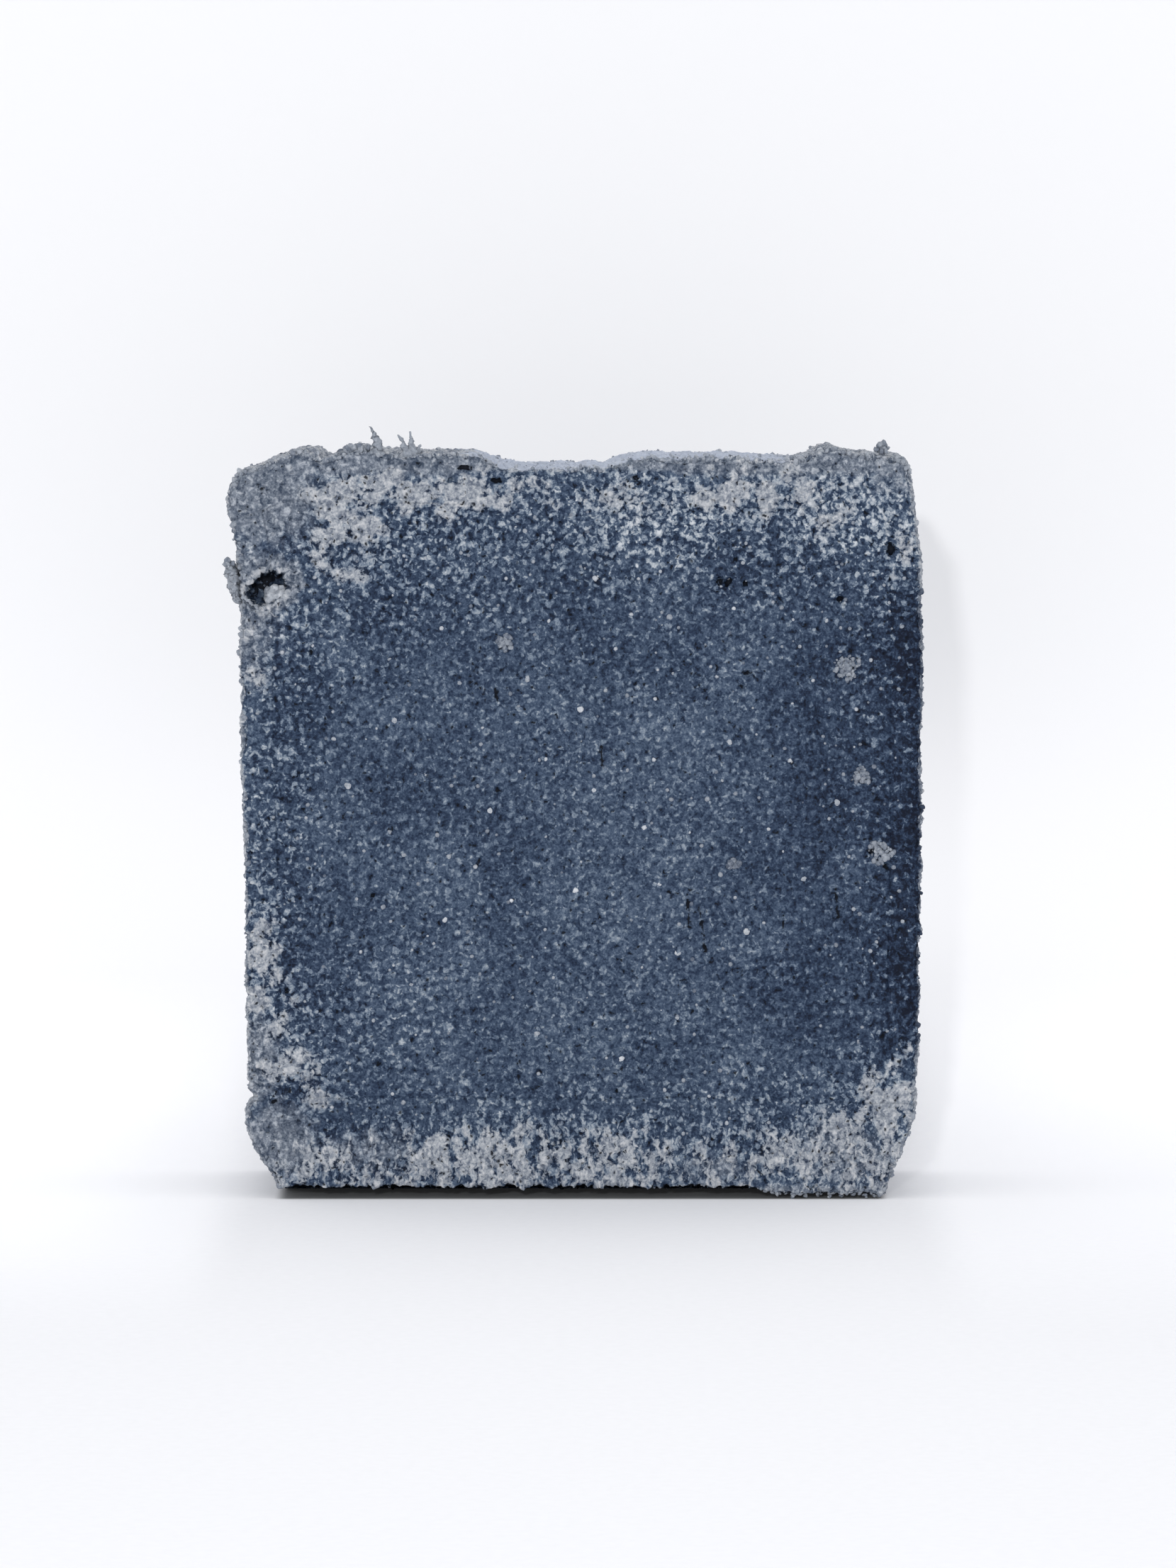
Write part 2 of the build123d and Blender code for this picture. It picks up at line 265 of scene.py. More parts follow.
open_pores = (  # x, z, half width, half height, depth
    (31.9, 67.5, 0.42, 0.62, 1.5), (14.4, 64.15, 0.42, 0.34, 1.4), (15.2, 64.0, 0.36, 0.42, 1.4),
    (16.9, 63.9, 0.22, 0.22, 0.8), (24.4, 65.6, 0.24, 0.22, 0.9), (15.9, 66.4, 0.16, 0.14, 0.4),
    (17.2, 54.6, 0.45, 0.35, 0.9), (16.8, 53.2, 0.35, 0.25, 0.8), (26.7, 62.3, 0.22, 0.4, 0.9),
    (30.0, 36.2, 0.3, 0.7, 0.8), (31.5, 34.6, 0.25, 0.5, 0.6), (-13.4, 74.6, 0.5, 0.3, 1.0),
    (-8.6, 74.5, 0.6, 0.22, 0.9), (-12.0, 75.9, 0.8, 0.2, 0.7), (5.4, 74.8, 0.5, 0.3, 0.7),
    (-27.9, 57.0, 0.2, 0.35, 0.7), (-30.4, 21.5, 0.3, 0.2, 0.6), (-21.5, 31.6, 0.25, 0.2, 0.6),
    (6.4, 20.3, 0.22, 0.22, 0.7), (25.4, 20.6, 0.22, 0.22, 0.7), (-31.8, 10.2, 0.5, 0.2, 0.4),
)
pit = np.zeros(len(skin))
for pore_x, pore_z, wide, high, deep in open_pores:
    near = oval(pore_x, pore_z, wide, high)
    pit = np.maximum(pit, near * front)
    y += np.where(front, 0.5 * deep * near, 0)
in_pocket = front * (1 - smooth_step(0.62, 0.95, pocket_distance))
in_pocket *= 0.35 + 0.65 * smooth_step(-0.3, 0.5, np.cos(around - radians(130)))  # painted shade, darkest up left, on the side away from the lamp
# Painted shade: the underside just behind the worn front edge, in the gap under the bar, is painted black
# like a pore.
in_ledge = (j == 0) & (from_face < ledge_depth + 1) & (k < through_bar / 2)
pit = np.maximum.reduce([pit, 0.85 * in_pocket, in_ledge])  # painted shade: the air pocket and the gap under the front edge are made as dark as pores
print("open pores:", len(open_pores))

# %% [markdown]
# ## Where the soap is pale
#
# The rind has three looks. Most striking is the crust, pale and lacy, which lies in patches along
# the top and the base. Around it the corners are an even grey haze. And everywhere near the outside
# the granules are larger and stand out more, on a darker ground. These are slow changes, so they
# are worked out here for each vertex from soft spots, and stored as attributes that both the relief
# and the colours read.

# %% Soft spots
def soft_spots(spots):
    """The strongest of some soft spots at each vertex. A spot is x, z, half width, half height, strength."""
    strength = np.zeros(len(skin))
    for spot_x, spot_z, wide, high, power in spots:
        strength = np.maximum(strength, power * oval(spot_x, spot_z, wide, high))
    return strength


def band(middle, half, outer, weights):
    """A level band whose strength changes along the bar. weights are pairs of x and strength.

    The band fades over half towards the core, and over outer towards the outside.
    """
    where, power = np.array(weights, float).T
    off = (z - middle) * (1 if middle > 40 else -1)
    return np.interp(x, where, power) * np.exp(-((off / np.where(off > 0, outer, half)) ** 2))


crust = np.maximum.reduce([
    band(73.3, 2.2, np.where(x < 12, 2.2, 4.5), [
        (-30, 0.1), (-27, 0.7), (-20, 1.0), (-12, 1.05), (-7, 0.7), (-4, 0.25), (2, 0.22), (10, 0.3),
        (14, 0.5), (19, 0.64), (23, 0.38), (27, 0.16), (34, 0.12),
    ]),
    band(4.3, 3.1, 6.5, [
        (-34, 0.45), (-28, 0.55), (-24, 0.5), (-19, 0.6), (-15, 0.95), (-8, 1.0), (-5, 0.6), (0, 0.78),
        (6, 0.78), (9, 0.36), (12, 0.36), (17, 0.55), (24, 0.6), (33, 0.55),
    ]),
    soft_spots([
        (-25.6, 70.6, 2.4, 2.6, 0.95), (-21.6, 69.2, 2.6, 1.9, 0.8), (-27.5, 67.6, 2.6, 2.0, 0.5),
        (18.8, 71.8, 2.2, 1.4, 0.75), (25.5, 70.3, 3.0, 1.8, 0.2), (32.8, 66.9, 1.3, 2.2, 0.7),
        (31.9, 10.6, 3.0, 4.2, 1.05), (33.9, 15.4, 0.8, 1.6, 0.7), (27.2, 7.2, 3.5, 2.6, 0.8),
        (-33.3, 28.8, 1.9, 1.8, 1.0), (-32.6, 24.8, 2.2, 2.4, 0.95), (-33.0, 20.2, 2.5, 3.0, 1.05),
        (-30.4, 13.2, 4.0, 2.4, 0.85), (-26.8, 10.6, 2.4, 1.4, 0.55), (-33.9, 54.8, 1.2, 1.3, 0.95),
        (-34.3, 58.6, 1.0, 1.4, 0.7), (-23.4, 64.6, 2.4, 0.8, 0.45), (27.4, 51.6, 1.5, 1.4, 0.5),
        (28.3, 40.4, 1.0, 0.6, 0.7),
    ]),
    0.5 * np.exp(-(((pocket_distance - 1.2) / 0.3) ** 2)),
])
haze = np.maximum.reduce([
    soft_spots([
        (-33.0, 73.0, 6.8, 5.4, 1.1), (-35.0, 62.0, 4.5, 10.0, 0.85), (32.5, 75.6, 5.0, 3.6, 0.65),
        (-33.6, 14.5, 2.8, 6.0, 0.85), (-32.0, 6.0, 5.0, 4.6, 0.95), (-22.0, 5.0, 6.0, 3.0, 0.6),
        (14.0, 3.0, 6.0, 2.4, 0.55), (27.0, 5.0, 7.0, 4.6, 0.6),
    ]),
    0.85 * smooth_step(74.9 - 1.2 * smooth_step(8, 14, np.abs(x + 1)), 76.2, z),
    0.75 * (1 - smooth_step(0.5, 2.4, z)),
    np.exp(-(((pocket_distance - 1.35) / 0.5) ** 2)),
])
haze *= 1 - front * (1 - smooth_step(0.85, 1.05, pocket_distance))
print("vertices in the crust:", int((crust > 0.5).sum()), "and in the haze:", int((haze > 0.5).sum()))

# %% [markdown]
# The walls, the base and the top were never cut. The walls and the top are rind all over: haze with patches
# of crust, and on the poured top a frost of pale ash that the air made. The base gets no haze or crust and
# stays dark: painted shade under the bar.

# %% Uncut sides, granules and ground
uncut = np.where(on_face, 0.0, smooth_step(0.0, 0.8, from_face))
crust = crust * (1 - uncut) + uncut * np.where(z > 70, 0.62, 0.45)
haze = np.maximum(haze, uncut * 0.9)
# Painted shade: the base gets no crust or haze, so that it stays dark under the bar.
under = j == 0
crust[under], haze[under] = 0, 0
frost = uncut * smooth_step(73.5, 75.0, z) * smooth_step(-17, -8, x) * (1 - 0.8 * smooth_step(17, 27, x))
depth_in = np.minimum.reduce([x + half_width, half_width - x, z * 0.8, (bar_height - z) * 0.45])
coarse = 1 - 0.8 * smooth_step(2.0, 11.0, depth_in)
lumpy = soft_spots([
    (27.0, 69.0, 10.0, 7.5, 0.65), (33.0, 57.0, 4.0, 8.0, 0.35), (8.0, 70.0, 12.0, 4.5, 0.8),
    (-20.0, 66.0, 12.0, 7.0, 0.45), (-27.0, 60.0, 7.0, 7.0, 0.4),
    (-31.0, 33.0, 4.5, 16.0, 0.12), (-21.0, 20.0, 7.0, 7.0, 0.5),
    (-26.0, 16.0, 7.0, 7.0, 0.6), (0.0, 9.0, 22.0, 3.4, 0.55), (22.0, 9.5, 12.0, 4.5, 0.7),
])
right_dark = smooth_step(10, 33, x) + smooth_step(28.5, 34, x)
right_dark *= smooth_step(8, 20, z) * (1 - smooth_step(56, 70, z))
cover = np.minimum(0.20 * coarse + 0.85 * crust + 0.34 * lumpy - 0.26 * right_dark, 1.1)
rough = 0.3 + 0.55 * coarse + 0.65 * lumpy
shade = 0.9 * smooth_step(0.5, 3.0, depth_in) * (1 - smooth_step(5.0, 13.0, depth_in))
shade = np.maximum(shade, 1.5 * right_dark)
drag = 1 - smooth_step(7.0, 12.0, z)

scratches = (  # x at the foot, x at the top, z of the foot, z of the top
    (12.9, 12.2, 25.6, 30.6), (11.2, 11.0, 28.2, 31.8), (26.6, 26.3, 29.0, 32.4),
    (2.2, 2.0, 45.0, 47.2), (-8.6, -8.9, 51.6, 53.2), (20.9, 21.0, 27.8, 29.6),
)
for foot_x, head_x, foot_z, head_z in scratches:
    along = np.clip((z - foot_z) / (head_z - foot_z), 0, 1)
    beside = np.abs(x - foot_x - (head_x - foot_x) * along)
    beyond = np.maximum(foot_z - z, z - head_z)
    pit = np.maximum(pit, 0.8 * front * (1 - smooth_step(0.05, 0.24, beside)) * (beyond < 0))

edge = np.exp(-((np.where(on_face, from_outline, from_face) / 0.75) ** 2))
looks = {
    "crust": crust, "haze": haze, "frost": frost, "cover": cover, "rough": rough, "shade": shade,
    "drag": drag, "pit": pit, "edge": edge,
}
print("attributes:", ", ".join(looks))


# %% [markdown]
# ## The skin as a mesh
#
# The vertices and the looks are known, so the mesh is only a matter of listing squares: six sheets
# of the lattice, each wound so that its squares face outwards.

# %% Build the skin
def sheet(ids, flip):
    """The squares of one sheet of lattice points, four vertex numbers each."""
    squares = np.stack([ids[:-1, :-1], ids[1:, :-1], ids[1:, 1:], ids[:-1, 1:]], -1).reshape(-1, 4)
    return squares[:, ::-1] if flip else squares


def in_scene(name, data):
    """A new object with this mesh, lamp or camera, linked to the scene."""
    obj = bpy.data.objects.new(name, data)
    bpy.context.scene.collection.objects.link(obj)
    return obj


def mesh_from(name, points_mm, polygons, attributes):
    """A smooth-shaded mesh object with these points, faces and per-vertex numbers."""
    mesh = bpy.data.meshes.new(name)
    mesh.from_pydata((points_mm * MM).tolist(), [], polygons)
    mesh.shade_smooth()
    for key, values in attributes.items():
        kind = "FLOAT_VECTOR" if values.ndim == 2 else "FLOAT"
        field = mesh.attributes.new(key, kind, "POINT")
        field.data.foreach_set("vector" if values.ndim == 2 else "value", values.astype(np.float32).ravel())
    return in_scene(name, mesh)


rest = np.stack([x, y, z], 1)
looks["rest"] = rest
sides = {
    "front": sheet(lattice[:, :, 0], False),
    "back": sheet(lattice[:, :, -1], True),
    "left": sheet(lattice[0], False),
    "right": sheet(lattice[-1], True),
    "base": sheet(lattice[:, 0], True),
    "top": sheet(lattice[:, -1], False),
}
skin_squares = np.vstack(list(sides.values()))
bar_skin = mesh_from("bar_skin", rest, skin_squares.tolist(), looks)
print("squares in the skin:", len(skin_squares))


# %% [markdown]
# ## One recipe for relief and colour
#
# On real soap the shape and the colour come from the same cause: a pale granule stands proud, and a
# pore is both deep and dark. So one function describes the soap, and it is used twice: in a Geometry
# Nodes tree that moves the skin, and in the shader that colours it. Noise and Voronoi nodes exist in
# both kinds of tree and give the same answer in both. `Wires` is a little shorthand for adding them.

# %% Shorthand for nodes
class Wires:
    """Adds nodes to a tree with one short call each. A value is a number, a vector or a socket."""

    def __init__(self, tree):
        self.tree = tree

    def add(self, kind, **settings):
        node = self.tree.nodes.new(kind)
        for name, value in settings.items():
            setattr(node, name, value)
        return node

    def plug(self, socket, value):
        if isinstance(value, bpy.types.NodeSocket):
            self.tree.links.new(value, socket)
        else:
            socket.default_value = value

    def math(self, operation, a, b):
        node = self.add("ShaderNodeMath", operation=operation)
        self.plug(node.inputs[0], a)
        self.plug(node.inputs[1], b)
        return node.outputs[0]

    def total(self, *terms):
        """The sum of numbers and of (value, factor) pairs."""
        result = 0.0
        for term in terms:
            value, factor = term if isinstance(term, tuple) else (term, 1.0)
            node = self.add("ShaderNodeMath", operation="MULTIPLY_ADD")
            self.plug(node.inputs[0], value)
            self.plug(node.inputs[1], factor)
            self.plug(node.inputs[2], result)
            result = node.outputs[0]
        return result

    def step(self, low, high, value):
        """The same soft step as smooth_step above."""
        node = self.add("ShaderNodeMapRange", interpolation_type="SMOOTHSTEP")
        for socket, number in zip(node.inputs, (value, low, high, 0.0, 1.0)):
            self.plug(socket, number)
        return node.outputs[0]

    def mix(self, share, a, b, kind="FLOAT"):
        """Between a and b: numbers, or with another kind vectors or colours."""
        first, out = {"FLOAT": (2, 0), "VECTOR": (4, 1), "RGBA": (6, 2)}[kind]
        node = self.add("ShaderNodeMix", data_type=kind)
        for socket, value in zip((0, first, first + 1), (share, a, b)):
            self.plug(node.inputs[socket], value)
        return node.outputs[out]

    def vector(self, operation, a, b):
        node = self.add("ShaderNodeVectorMath", operation=operation)
        self.plug(node.inputs[0], a)
        self.plug(node.inputs[1], b)
        return node.outputs[0]

    def scaled(self, vector, factor):
        node = self.add("ShaderNodeVectorMath", operation="SCALE")
        self.plug(node.inputs[0], vector)
        self.plug(node.inputs["Scale"], factor)
        return node.outputs[0]

    def any_between(self, low, high, seed):
        """A chance vector for each point, with its three numbers between low and high."""
        node = self.add("FunctionNodeRandomValue", data_type="FLOAT_VECTOR")
        for socket, value in zip((0, 1, "Seed"), ((low,) * 3, (high,) * 3, seed)):
            node.inputs[socket].default_value = value
        return node.outputs[0]

    def then(self, kind, geometry, **inputs):
        """A node that changes this geometry and passes it on, with its other inputs by name."""
        node = self.add(kind)
        self.plug(node.inputs[0], geometry)
        for name, value in inputs.items():
            self.plug(node.inputs[name], value)
        return node.outputs[0]

    def noise(self, where, scale, detail=3.0, roughness=0.55):
        node = self.add("ShaderNodeTexNoise", noise_dimensions="3D")
        self.plug(node.inputs["Vector"], where)
        node.inputs["Scale"].default_value = scale
        node.inputs["Detail"].default_value = detail
        node.inputs["Roughness"].default_value = roughness
        return node

    def cells(self, where, scale):
        """Distance to the middle of the nearest cell, and a chance number of that cell's own."""
        node = self.add("ShaderNodeTexVoronoi", feature="F1")
        self.plug(node.inputs["Vector"], where)
        node.inputs["Scale"].default_value = scale
        return node.outputs["Distance"], node.outputs["Color"]


print("Wires has", len([name for name in vars(Wires) if not name.startswith("_")]), "short calls")


# %% The recipe
def soap_recipe(w, look):
    """What the soap is at a place: pale lumps, granules, crust and pores, each from 0 to 1.

    w adds the nodes, and look gives the sockets of the attributes by name. Lengths are millimetres.
    """
    place = look["rest"]
    sway = w.vector("SUBTRACT", w.noise(place, 1.3, 3.0).outputs["Color"], (0.5, 0.5, 0.5))
    swayed = w.vector("ADD", place, w.vector("MULTIPLY", sway, (1.1, 1.1, 1.1)))
    small_distance, small_chance = w.cells(swayed, 2.6)
    large_distance, large_chance = w.cells(swayed, 1.45)
    pore_distance, pore_chance = w.cells(w.vector("ADD", swayed, (31.0, 17.0, 5.0)), 1.7)

    small = w.math("MULTIPLY", w.step(0.66, 0.14, small_distance), w.step(0.2, 0.9, small_chance))
    large = w.math("MULTIPLY", w.step(0.50, 0.26, large_distance), w.step(0.40, 0.75, large_chance))
    cloud = w.noise(place, 0.9, 5.0, 0.68).outputs[0]
    streaked = w.vector("MULTIPLY", swayed, (1.45, 1.0, 0.75))
    plain_worms, drawn_worms = w.noise(swayed, 1.45, 3.0, 0.57), w.noise(streaked, 1.5, 4.0, 0.6)
    worms = w.mix(look["drag"], plain_worms.outputs[0], drawn_worms.outputs[0])
    plain_lace, drawn_lace = w.noise(place, 0.42, 3.0, 0.55), w.noise(streaked, 0.4, 3.0, 0.6)
    lace = w.mix(look["drag"], plain_lace.outputs[0], drawn_lace.outputs[0])

    grain = w.total((w.total(worms, -0.5), 3.2), (w.total(small, -0.25), 0.6), (w.total(large, -0.15), 0.9))
    cover = w.total(-0.36, look["cover"], (look["pit"], -2.0))
    patches = w.math("MULTIPLY", w.total(lace, -0.5), w.total(1.0, (look["crust"], 4.6)))
    cover = w.total(cover, patches)
    pale = w.step(-0.24, 0.30, w.total(grain, cover))
    crust = w.math("MULTIPLY", w.step(0.1, 0.5, cover), w.step(-0.2, 0.22, w.total(grain, cover)))

    rare = w.mix(crust, w.step(0.70, 0.77, pore_chance), w.step(0.50, 0.58, pore_chance))
    pores = w.math("MULTIPLY", w.step(0.32, 0.12, pore_distance), rare)
    # Painted shade: the air pocket and the gap under the front edge come out black here, like the pores.
    torn = w.step(0.50, 0.62, w.total(look["pit"], (w.total(worms, -0.5), -3.0)))
    pores = w.math("MAXIMUM", pores, torn)
    return {
        "small": small, "large": large, "cloud": cloud, "worms": worms, "pale": pale, "crust": crust,
        "pores": pores,
    }


print("The recipe makes granules of two sizes, a cloud, worms, pale lumps, crust and pores.")

# %% [markdown]
# ## The relief
#
# The Geometry Nodes tree pushes each vertex of the skin along its normal, by heights that are
# inputs of the tree, so that they can be tried out one by one. Slow waves come first, then the
# crust, the granules and the pores. Near an edge the soap has crumbled, so a coarse noise bites
# into it there.

# %% Build the relief tree
def group_with(name, inputs, attributes):
    """A Geometry Nodes tree with these inputs, its shorthand, and the attributes' sockets."""
    tree = bpy.data.node_groups.new(name, "GeometryNodeTree")
    tree.interface.new_socket("Geometry", in_out="INPUT", socket_type="NodeSocketGeometry")
    for title, kind, value in inputs:
        socket = tree.interface.new_socket(title, in_out="INPUT", socket_type=kind)
        if value is not None:
            socket.default_value = value
    tree.interface.new_socket("Geometry", in_out="OUTPUT", socket_type="NodeSocketGeometry")
    w = Wires(tree)
    look = {}
    for key in attributes:
        kind = "FLOAT_VECTOR" if key == "rest" else "FLOAT"
        node = w.add("GeometryNodeInputNamedAttribute", data_type=kind)
        node.inputs["Name"].default_value = key
        look[key] = node.outputs["Attribute"]
    return tree, w, look, w.add("NodeGroupInput").outputs, w.add("NodeGroupOutput").inputs


relief, w, look, given, result = group_with(
    "Soap relief",
    [
        ("Waves", "NodeSocketFloat", 0.35),
        ("Crust height", "NodeSocketFloat", 0.10),
        ("Granule height", "NodeSocketFloat", 0.09),
        ("Pore depth", "NodeSocketFloat", 0.32),
        ("Edge bite", "NodeSocketFloat", 2.0),
        ("Finish", "NodeSocketMaterial", None),
    ],
    ["rest", "crust", "cover", "drag", "pit", "edge", "haze"],
)
soap = soap_recipe(w, look)
slow = w.noise(look["rest"], 0.16, 2.0).outputs[0]
gritty = w.noise(look["rest"], 1.5, 5.0, 0.62).outputs[0]
bite = w.noise(look["rest"], 0.7, 5.0, 0.66).outputs[0]
bumpy = w.noise(look["rest"], 0.42, 5.0, 0.68).outputs[0]
height = w.total(
    (w.total(slow, -0.5), given["Waves"]),
    (soap["crust"], given["Crust height"]),
    (w.total(soap["small"], soap["large"], soap["pale"]), given["Granule height"]),
    (w.math("MULTIPLY", soap["pores"], -1.0), given["Pore depth"]),
    (w.math("MULTIPLY", w.total(bite, -0.56), look["edge"]), given["Edge bite"]),
    (w.total(gritty, -0.5), w.total(0.16, (look["edge"], 0.35), (look["haze"], 0.30))),
    (w.math("MULTIPLY", w.total(bumpy, -0.5), look["haze"]), 1.8),
)
push = w.scaled(w.add("GeometryNodeInputNormal").outputs[0], w.math("MULTIPLY", height, MM))
moved = w.then("GeometryNodeSetPosition", given["Geometry"], Offset=push)
whole = w.then("GeometryNodeRealizeInstances", moved)
w.plug(result["Geometry"], w.then("GeometryNodeSetMaterial", whole, Material=given["Finish"]))
print("nodes in the relief tree:", len(relief.nodes))

# %% [markdown]
# A tree is used through a modifier. Its inputs are set by their identifiers, because names are only
# for people. Then the evaluated object is turned into a plain mesh and the modifier comes off, so
# that what is left is ordinary geometry.

# %% Run the relief on the skin
def run_tree(obj, tree, **values):
    """The mesh that this tree makes of the object, with inputs given by name, spaces as _."""
    modifier = obj.modifiers.new(tree.name, "NODES")
    modifier.node_group = tree
    for item in tree.interface.items_tree:
        key = item.name.replace(" ", "_")
        if item.in_out == "INPUT" and key in values:
            modifier[item.identifier] = values[key]
    graph = bpy.context.evaluated_depsgraph_get()
    evaluated = obj.evaluated_get(graph)
    mesh = bpy.data.meshes.new_from_object(evaluated, preserve_all_data_layers=True, depsgraph=graph)
    obj.modifiers.remove(modifier)
    return mesh


def vertex_array(mesh, source="co"):
    """Every vertex's place, in millimetres, or its normal."""
    values = np.empty(len(mesh.vertices) * 3, np.float32)
    mesh.vertices.foreach_get(source, values)
    return values.reshape(-1, 3).astype(float) / (MM if source == "co" else 1)


charcoal_soap = bpy.data.materials.new("charcoal_soap")  # its colours follow further down
relieved = run_tree(bar_skin, relief, Finish=charcoal_soap)
surface, normals = vertex_array(relieved), vertex_array(relieved, "normal")
surface[:, 2] = np.maximum(surface[:, 2], 0.0)  # the table keeps the base flat
bpy.data.objects.remove(bar_skin)
print("the relief moved the skin by up to", np.abs(surface - rest).max().round(2), "mm")

# %% [markdown]
# ## Cutting the skin into the pieces of the frame
#
# Every square belongs to the core or to one of the four parts of the rind, by its place in the
# lattice. A piece that is only a patch of skin would be a hollow shell with no back, so each gets
# hidden walls inside the bar. Those are shaded flat, which also keeps them from bending the shading
# of the visible squares beside them.

# %% Cut along the seams
seam_left = int(np.argmax(place(np.arange(across + 1), np.full(across + 1, up // 2), 0)[:, 0] > -31.6))
seam_right = across - seam_left
seam_low = int(np.argmax(left_curve[:, 1] > shoulder_height))
seam_high = int(np.argmax(left_curve[:, 1] > top_seam_height))
middle = np.mean(skin[skin_squares], 1)
mid_i, mid_j, mid_k = middle.T
between = (mid_j > seam_low) & (mid_j < seam_high)
inside = between & (mid_i > seam_left) & (mid_i < seam_right)
owned = {
    "top_rind": mid_j > seam_high,
    "base_rind": mid_j < seam_low,
    "left_rind": between & (mid_i < seam_left),
    "right_rind": between & (mid_i > seam_right),
    "core_front": inside & (mid_k < 1),
    "core_back": inside & (mid_k > 1),
}
columns, rows = slice(seam_left, seam_right + 1), slice(seam_low, seam_high + 1)


def level_wall(row, start, stop):
    """A hidden level wall at this row, round the bar from column start to column stop."""
    loop = [lattice[start : stop + 1, row, 0], lattice[start : stop + 1, row, -1][::-1]]
    if stop == across:
        loop.insert(1, lattice[-1, row, 1:-1])
    if start == 0:
        loop.append(lattice[0, row, 1:-1][::-1])
    return np.concatenate(loop).tolist()


def upright_wall(column):
    """A hidden upright wall at this column, between the two rinds."""
    return np.concatenate([lattice[column, rows, 0], lattice[column, rows, -1][::-1]]).tolist()


hidden = {
    "top_rind": [level_wall(seam_high, 0, across)[::-1]],
    "base_rind": [level_wall(seam_low, 0, across)],
    "left_rind": [
        level_wall(seam_low, 0, seam_left)[::-1], level_wall(seam_high, 0, seam_left),
        upright_wall(seam_left)[::-1],
    ],
    "right_rind": [
        level_wall(seam_low, seam_right, across)[::-1], level_wall(seam_high, seam_right, across),
        upright_wall(seam_right),
    ],
}
print({name: int(squares.sum()) for name, squares in owned.items()})


# %% Make the pieces
def cut_out(name):
    """One piece of the bar: its squares of skin, and the hidden walls that close it."""
    squares = skin_squares[owned[name]]
    points, values = surface, {key: looks[key] for key in looks if key != "edge"}
    walls = hidden.get(name)
    if walls is None:  # half the core: its walls run in to the middle of the bar, where a lid closes it
        end = 0 if name == "core_front" else -1
        rim = np.concatenate([
            lattice[seam_left:seam_right, seam_low, end], lattice[seam_right, seam_low:seam_high, end],
            lattice[columns, seam_high, end][:0:-1], lattice[seam_left, rows, end][:0:-1],
        ])
        if end:
            rim = rim[::-1]
        deep = np.arange(len(rim)) + len(points)
        points = np.vstack([points, points[rim] * (1, 0, 1)])
        values = {key: np.concatenate([field, field[rim]]) for key, field in values.items()}
        walls = np.stack([np.roll(rim, -1), rim, deep, np.roll(deep, -1)], 1).tolist() + [deep.tolist()]
    polygons = squares.tolist() + walls
    used = np.unique(np.concatenate([np.ravel(p) for p in (squares, *walls)]))
    number = np.full(len(points), -1)
    number[used] = np.arange(len(used))
    piece = mesh_from(
        name + "_skin", points[used], [number[p].tolist() for p in polygons],
        {key: field[used] for key, field in values.items()},
    )
    smooth = np.arange(len(polygons)) < len(squares)
    piece.data.polygons.foreach_set("use_smooth", smooth)
    return piece


bar_pieces = {name: cut_out(name) for name in owned}
for name, piece in bar_pieces.items():
    triangles = sum(len(face.vertices) - 2 for face in piece.data.polygons)
    print(name, len(piece.data.vertices), "vertices,", triangles, "triangles")


# %% [markdown]
# ## The colour of the soap
#
# The shader repeats the recipe and turns it into colours: slate blue for the core, from navy
# between the granules to pale grey on them; grey-mauve for the haze; chalky grey for the crust; a
# cold white for the frost. What is too fine for the mesh, such as the grit in the crust, is bump.

# %% Colours
def paint(red, green, blue):
    """A linear colour from the 0 to 255 numbers that a colour picker shows."""
    values = [c / 255 for c in (red, green, blue)]
    return tuple(c / 12.92 if c <= 0.04045 else ((c + 0.055) / 1.055) ** 2.4 for c in values) + (1,)


def ramp(w, value, stops):
    """A colour ramp with these (position, colour) stops."""
    node = w.add("ShaderNodeValToRGB")
    for n, (position, colour) in enumerate(stops):
        if n < 2:
            stop = node.color_ramp.elements[n]
            stop.position = position
        else:
            stop = node.color_ramp.elements.new(position)
        stop.color = colour
    w.plug(node.inputs[0], value)
    return node.outputs[0]


def shader_of(material):
    """The shorthand for the tree of a material, and its main shader."""
    material.use_nodes = True
    return Wires(material.node_tree), material.node_tree.nodes["Principled BSDF"]


def add_bump(w, shader, height, height_mm):
    """Relief too fine for the mesh."""
    bump = w.add("ShaderNodeBump")
    for name, value in (("Strength", 0.5), ("Distance", height_mm * MM), ("Height", height)):
        w.plug(bump.inputs[name], value)
    w.plug(shader.inputs["Normal"], bump.outputs[0])


slate = [
    (0.0, paint(6, 16, 35)), (0.2, paint(34, 49, 72)), (0.4, paint(69, 84, 105)),
    (0.6, paint(110, 123, 139)), (0.78, paint(150, 158, 167)), (1.0, paint(196, 200, 205)),
]
mauve = [(0.1, paint(60, 71, 88)), (0.5, paint(114, 122, 134)), (0.9, paint(170, 175, 183))]
chalk = [(0.1, paint(98, 106, 120)), (0.5, paint(152, 157, 164)), (0.9, paint(190, 191, 194))]
frost_white = paint(184, 192, 208)
# The black of the pores, and also the painted shade in the air pocket and under the front edge.
pore_and_shade_black = paint(14, 18, 27)
print("palette:", len(slate), "slates,", len(mauve), "mauves,", len(chalk), "chalks")


